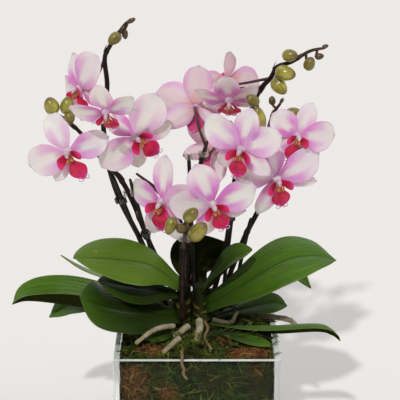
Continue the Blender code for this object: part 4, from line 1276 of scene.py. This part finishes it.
def packed_block():
    shape = bmesh.new()
    bmesh.ops.create_cube(shape, size=2.0)
    bmesh.ops.subdivide_edges(shape, edges=shape.edges, cuts=47, use_grid_fill=True)
    for vertex in shape.verts:
        x, y, z = vertex.co
        lump = noise.fractal(vertex.co * 9, 0.8, 2.0, 4) + 0.5 * noise.noise(vertex.co * 31)
        side = MOSS_SIDE - 1.2 + 0.9 * lump
        top = moss_height(x * side, y * side) + 1.1 * lump - 1.2
        vertex.co = Vector((x * side, y * side, MOSS_FLOOR + (top - MOSS_FLOOR) * (z + 1) / 2)) * MM
    mesh = bpy.data.meshes.new("moss_block")
    shape.to_mesh(mesh)
    shape.free()
    mesh.materials.append(moss_finish)
    mesh.shade_smooth()
    made = bpy.data.objects.new("moss_block", mesh)
    bpy.context.scene.collection.objects.link(made)
    right_way_out(made)
    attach(made, "root")
    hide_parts("moss")


packed_block()


# %% Fibre shapes
def keep_shape(group, name, clay):
    """Keep a shape outside the scene, ready for scattering."""
    mesh = bpy.data.meshes.new(name)
    mesh.from_pydata((np.array(clay.points) * MM).tolist(), [], clay.faces)
    group.objects.link(bpy.data.objects.new(name, mesh))


def fibre(group, name, seed, length, thick, curl, lift, rows=9):
    """One bent fibre that lies on the ground plane and rises by lift in its middle."""
    chance = random.Random(seed)
    heading, x, y = 0.0, 0.0, 0.0
    knots = []
    turn = chance.choice((-1, 1)) * curl
    for i in range(rows):
        t = i / (rows - 1)
        knots.append(Vector((x, y, lift * math.sin(math.pi * t) * chance.uniform(0.6, 1.4))))
        heading += turn * (0.4 + t) + chance.uniform(-0.35, 0.35) * (1 + curl)
        x += length / rows * math.cos(heading)
        y += length / rows * math.sin(heading)
    middle = sum(knots, Vector()) / len(knots)
    clay = Clay()
    shift = Vector((middle.x, middle.y, 0))
    rod(clay, [k - shift for k in knots], lambda t, a: thick * (1 - 0.6 * t), sides=3)
    keep_shape(group, name, clay)


def sprig(group, name, seed, length, leaf_length):
    """A moss shoot: a bent stem with small pointed leaves on both sides."""
    chance = random.Random(seed)
    clay = Clay()
    stem, x, z, tilt = [], 0.0, 0.0, chance.uniform(0.5, 1.2)
    for i in range(7):
        stem.append(Vector((x, chance.uniform(-0.3, 0.3), z)))
        x += length / 6 * math.cos(tilt)
        z += length / 6 * math.sin(tilt)
        tilt -= 0.16
    rod(clay, stem, lambda t, a: 0.32 * (1 - 0.5 * t), sides=3)
    for i in range(1, 7):
        for side in (-1, 1):
            start = stem[i]
            ahead = (stem[i] - stem[i - 1]).normalized()
            out = (ahead * 0.7 + Vector((0, side, 0.25))).normalized()
            end = start + out * leaf_length * chance.uniform(0.6, 1.1)
            middle = start.lerp(end, 0.5) + Vector((0, 0, 0.15))
            rod(clay, [start, middle, end], lambda t, a: 0.34 * (1 - 0.7 * t), sides=3)
    keep_shape(group, name, clay)


strands = bpy.data.collections.new("strand_shapes")
sprigs = bpy.data.collections.new("sprig_shapes")
coir = bpy.data.collections.new("coir_shapes")
for k in range(6):
    fibre(strands, f"strand_{k}", 10 + k, 12 + k, 0.42, 0.10 + 0.04 * k, 1.2)
    fibre(coir, f"coir_{k}", 40 + k, 16 + 2 * k, 0.34, 0.22 + 0.05 * k, 1.0, rows=11)
for k in range(4):
    sprig(sprigs, f"sprig_{k}", 80 + k, 7 + k, 2.6)


# %% The scattering tree
def scatter_tree():
    tree = bpy.data.node_groups.new("scatter_fibres", "GeometryNodeTree")
    sockets = {}
    for label, kind in (
        ("Surface", "NodeSocketGeometry"),
        ("Fibres", "NodeSocketCollection"),
        ("Per Area", "NodeSocketFloat"),
        ("Smallest", "NodeSocketFloat"),
        ("Largest", "NodeSocketFloat"),
        ("Tilt", "NodeSocketFloat"),
        ("Seed", "NodeSocketInt"),
        ("Finish", "NodeSocketMaterial"),
    ):
        sockets[label] = tree.interface.new_socket(label, in_out="INPUT", socket_type=kind).identifier
    tree.interface.new_socket("Geometry", in_out="OUTPUT", socket_type="NodeSocketGeometry")
    given, sink = tree.nodes.new("NodeGroupInput").outputs, tree.nodes.new("NodeGroupOutput")

    def step(kind, **inputs):
        node = tree.nodes.new(kind)
        for label, value in inputs.items():
            wire(tree, value, node.inputs[label.replace("_", " ")])
        return node

    def random_value(low, high, offset):
        node = step("FunctionNodeRandomValue", Seed=plus(tree, given["Seed"], offset))
        node.data_type = "FLOAT"
        wire(tree, low, node.inputs[2])
        wire(tree, high, node.inputs[3])
        return node.outputs[1]

    spread = step("GeometryNodeDistributePointsOnFaces", Mesh=given["Surface"], Seed=given["Seed"])
    wire(tree, given["Per Area"], spread.inputs["Density"])
    shapes = step(
        "GeometryNodeCollectionInfo", Collection=given["Fibres"], Separate_Children=True, Reset_Children=True
    )
    lay = step(
        "GeometryNodeInstanceOnPoints",
        Points=spread.outputs["Points"],
        Instance=shapes.outputs["Instances"],
        Pick_Instance=True,
        Rotation=spread.outputs["Rotation"],
        Scale=random_value(given["Smallest"], given["Largest"], 1),
    )
    tilt_down = times(tree, given["Tilt"], -1.0)
    tilts = [random_value(tilt_down, given["Tilt"], offset) for offset in (2, 3)]
    angles = joined(tree, *tilts, random_value(0.0, 2 * math.pi, 4))
    spin = step("GeometryNodeRotateInstances", Instances=lay.outputs["Instances"], Rotation=angles)
    shade = step("GeometryNodeStoreNamedAttribute", Geometry=spin.outputs["Instances"], Name="tint")
    shade.data_type, shade.domain = "FLOAT", "INSTANCE"
    wire(tree, random_value(0.0, 1.0, 5), shade.inputs["Value"])
    real = step("GeometryNodeRealizeInstances", Geometry=shade.outputs["Geometry"])
    finish = step("GeometryNodeSetMaterial", Geometry=real.outputs["Geometry"], Material=given["Finish"])
    wire(tree, finish.outputs["Geometry"], sink.inputs["Geometry"])
    return tree, sockets


SCATTER, SCATTER_SOCKETS = scatter_tree()
OVER_RIM, INNER_WALL, INNER_FLOOR, OVERHANG = 120.4, 55.75, 8.4, 64


def inside_glass(places):
    """Push fibre points back inside the glass, and let those above the rim reach a little over it."""
    low = places[:, 2] < OVER_RIM
    places[low, :2] = np.clip(places[low, :2], -INNER_WALL, INNER_WALL)
    places[:, 2] = np.maximum(places[:, 2], INNER_FLOOR)
    places[~low, :2] = np.clip(places[~low, :2], -OVERHANG, OVERHANG)
    return places


def scatter(name, surface, fibres, per_area, smallest, largest, tilt, seed, finish):
    """Scatter fibres over a surface and keep the result as one plain piece."""
    ground = bpy.data.objects.new(name + "_ground", surface)
    bpy.context.scene.collection.objects.link(ground)
    modifier = ground.modifiers.new("scatter", "NODES")
    modifier.node_group = SCATTER
    values = {"Fibres": fibres, "Per Area": per_area, "Smallest": smallest, "Largest": largest, "Tilt": tilt,
              "Seed": seed, "Finish": finish}
    for label, value in values.items():
        modifier[SCATTER_SOCKETS[label]] = value
    bpy.context.view_layer.update()
    mesh = bpy.data.meshes.new_from_object(ground.evaluated_get(bpy.context.evaluated_depsgraph_get()))
    mesh.name = name
    bpy.data.objects.remove(ground)
    places = np.empty(len(mesh.vertices) * 3)
    mesh.vertices.foreach_get("co", places)
    mesh.vertices.foreach_set("co", inside_glass(places.reshape(-1, 3) / MM).ravel() * MM)
    mesh.shade_smooth()
    mesh.update()
    made = bpy.data.objects.new(name, mesh)
    bpy.context.scene.collection.objects.link(made)
    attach(made, "root")
    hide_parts("moss")
    print(name, "triangles:", sum(len(f.vertices) - 2 for f in mesh.polygons))


# %% Surfaces to scatter on
def patch(name, place, count, keep):
    """An open grid over place(s, t), s and t from 0 to 1; keep(s, t) says which faces to keep."""
    places = [place(i / count, j / count) for j in range(count + 1) for i in range(count + 1)]
    points = [tuple(Vector(p) * MM) for p in places]
    faces = []
    for j in range(count):
        for i in range(count):
            if keep((i + 0.5) / count, (j + 0.5) / count):
                a = j * (count + 1) + i
                faces.append((a, a + 1, a + count + 2, a + count + 1))
    mesh = bpy.data.meshes.new(name)
    mesh.from_pydata(points, [], faces)
    return mesh


FIBRE_HALF = 54.0  # fibres start inside this half width, and bend out to the glass


def across_moss(share):
    return (2 * share - 1) * FIBRE_HALF


def top_place(s, t):
    x, y = across_moss(s), across_moss(t)
    return x, y, moss_height(x, y) - 0.6


def wall_place(turn):
    c, d = math.cos(turn), math.sin(turn)

    def at(s, t):
        x, y, z = across_moss(s), -FIBRE_HALF - 0.6, 10 + t * 107
        return x * c - y * d, x * d + y * c, z

    return at


def coir_here(s, t):
    """Whether coconut fibre, and not moss, shows at a place on top."""
    x, y = across_moss(s), across_moss(t)
    spots = ((-33, -41, 12), (38, -47, 16), (20, -30, 8), (44, 20, 12), (-40, 35, 10), (5, 40, 9))
    return any((x - a) ** 2 + ((y - b) * 1.6) ** 2 < r * r for a, b, r in spots)


top_coir = patch("top_coir_ground", top_place, 60, coir_here)
top_green = patch("top_green_ground", top_place, 60, lambda s, t: not coir_here(s, t))
scatter("moss_top_strands", top_green, strands, 150000, 0.5, 1.2, 0.6, 3, strand_finish)
scatter("moss_top_sprigs", top_green, sprigs, 46000, 0.6, 1.3, 0.5, 5, strand_finish)
scatter("coir_top", top_coir, coir, 500000, 0.45, 0.85, 0.5, 7, coir_finish)
for number, side in enumerate(("front", "right", "back", "left")):
    turn = number * math.pi / 2

    def coir_patch(s, t):
        corner = number == 0 and s < 0.16 and 0.72 < t < 0.98
        return corner or noise.noise(Vector((s * 4.0 + number * 9.1 + 3.3, t * 4.2 + 1.7, 0.3))) > 0.37

    wall = wall_place(turn)
    green_ground = patch(f"{side}_ground", wall, 30, lambda s, t: not coir_patch(s, t))
    coir_ground = patch(f"{side}_coir_ground", wall, 30, coir_patch)
    scatter(f"moss_{side}_strands", green_ground, strands, 95000, 0.7, 1.5, 0.12, 11 + number, shaded_moss_finish)
    scatter(f"coir_{side}", coir_ground, coir, 300000, 0.45, 0.9, 0.15, 21 + number, shaded_coir_finish)

# %% [markdown]
# ## Glass vase
# The vase is a cube of thick clear glass with a ground rim. It is made as square rings with rounded
# corners, one above another, from the middle of its underside up the outside, over the rim and down the
# inside. The ground rim is a finish of its own, since rough glass looks pale.

# %% Glass finishes
glass_finish, tree, shader = new_finish("clear_glass", 0.02, specular=0.12)
shader.inputs["Base Color"].default_value = (0.95, 0.985, 0.97, 1)
shader.inputs["Transmission Weight"].default_value = 1.0
shader.inputs["IOR"].default_value = 1.15
smear = remap(tree, speckle(tree, spot(tree), 45.0, 4.0), 0.45, 0.75, 0.015, 0.07)
wire(tree, smear, shader.inputs["Roughness"])
clear = tree.nodes.new("ShaderNodeBsdfTransparent")
clear.inputs["Color"].default_value = (0.90, 0.95, 0.93, 1)
through = tree.nodes.new("ShaderNodeMixShader")
wire(tree, tree.nodes.new("ShaderNodeLightPath").outputs["Is Shadow Ray"], through.inputs[0])
tree.links.new(shader.outputs[0], through.inputs[1])
tree.links.new(clear.outputs[0], through.inputs[2])
tree.links.new(through.outputs[0], tree.nodes["Material Output"].inputs["Surface"])

rim_finish, tree, shader = new_finish("ground_rim", 0.45, coat=0.3)
ground = clouds(tree, (0.62, 0.70, 0.62), (0.80, 0.86, 0.80), 120.0, 0.9)
paint(tree, shader, ground["Colour"])
add_bump(tree, shader, speckle(tree, spot(tree), 900.0, 2.0), 0.3, 0.0002)


# %% Vase
def square_ring(half, corner, z, steps=6):
    """Points round a square with rounded corners, anticlockwise from above."""
    inner = half - corner
    ring = []
    for quarter in range(4):
        cx, cy = ((inner, inner), (-inner, inner), (-inner, -inner), (inner, -inner))[quarter]
        for k in range(steps):
            a = math.pi / 2 * (quarter + k / (steps - 1))
            ring.append((cx + corner * math.cos(a), cy + corner * math.sin(a), z))
    return ring


def vase():
    # half width, radius of the corners, height
    outside = [
        (20, 2, 0), (58.6, 1.5, 0), (59.4, 2.0, 0.15), (59.85, 2.2, 0.5), (60, 2.2, 1.0), (60, 2.2, 60),
        (60, 2.2, 119.2), (59.75, 2.1, 119.75), (59.2, 1.9, 120),
    ]
    inside = [
        (56.8, 1.3, 120), (56.25, 1.2, 119.75), (56, 1.2, 119.2), (56, 1.2, 60), (56, 1.2, 9.2),
        (55.75, 1.2, 8.35), (55.0, 1.2, 8), (20, 2, 8),
    ]
    profile = outside + inside
    rings = [square_ring(*row) for row in profile]
    points = sum(rings, [])
    count, sides = len(rings), len(rings[0])
    faces = ring_faces(count, sides) + flat_ends(count, sides)
    rim_rows = range(len(outside) - 2, len(outside) + 1)
    slots = [1 if i in rim_rows else 0 for i in range(count - 1) for _ in range(sides)] + [0, 0]
    mesh = bpy.data.meshes.new("glass_vase_cube")
    mesh.from_pydata((np.array(points) * MM).tolist(), [], faces)
    mesh.materials.append(glass_finish)
    mesh.materials.append(rim_finish)
    mesh.polygons.foreach_set("material_index", slots)
    mesh.shade_smooth()
    mesh.set_sharp_from_angle(angle=math.radians(32))
    made = bpy.data.objects.new("glass_vase_cube", mesh)
    bpy.context.scene.collection.objects.link(made)
    right_way_out(made)
    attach(made, "root")
    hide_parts("glass_vase")


vase()
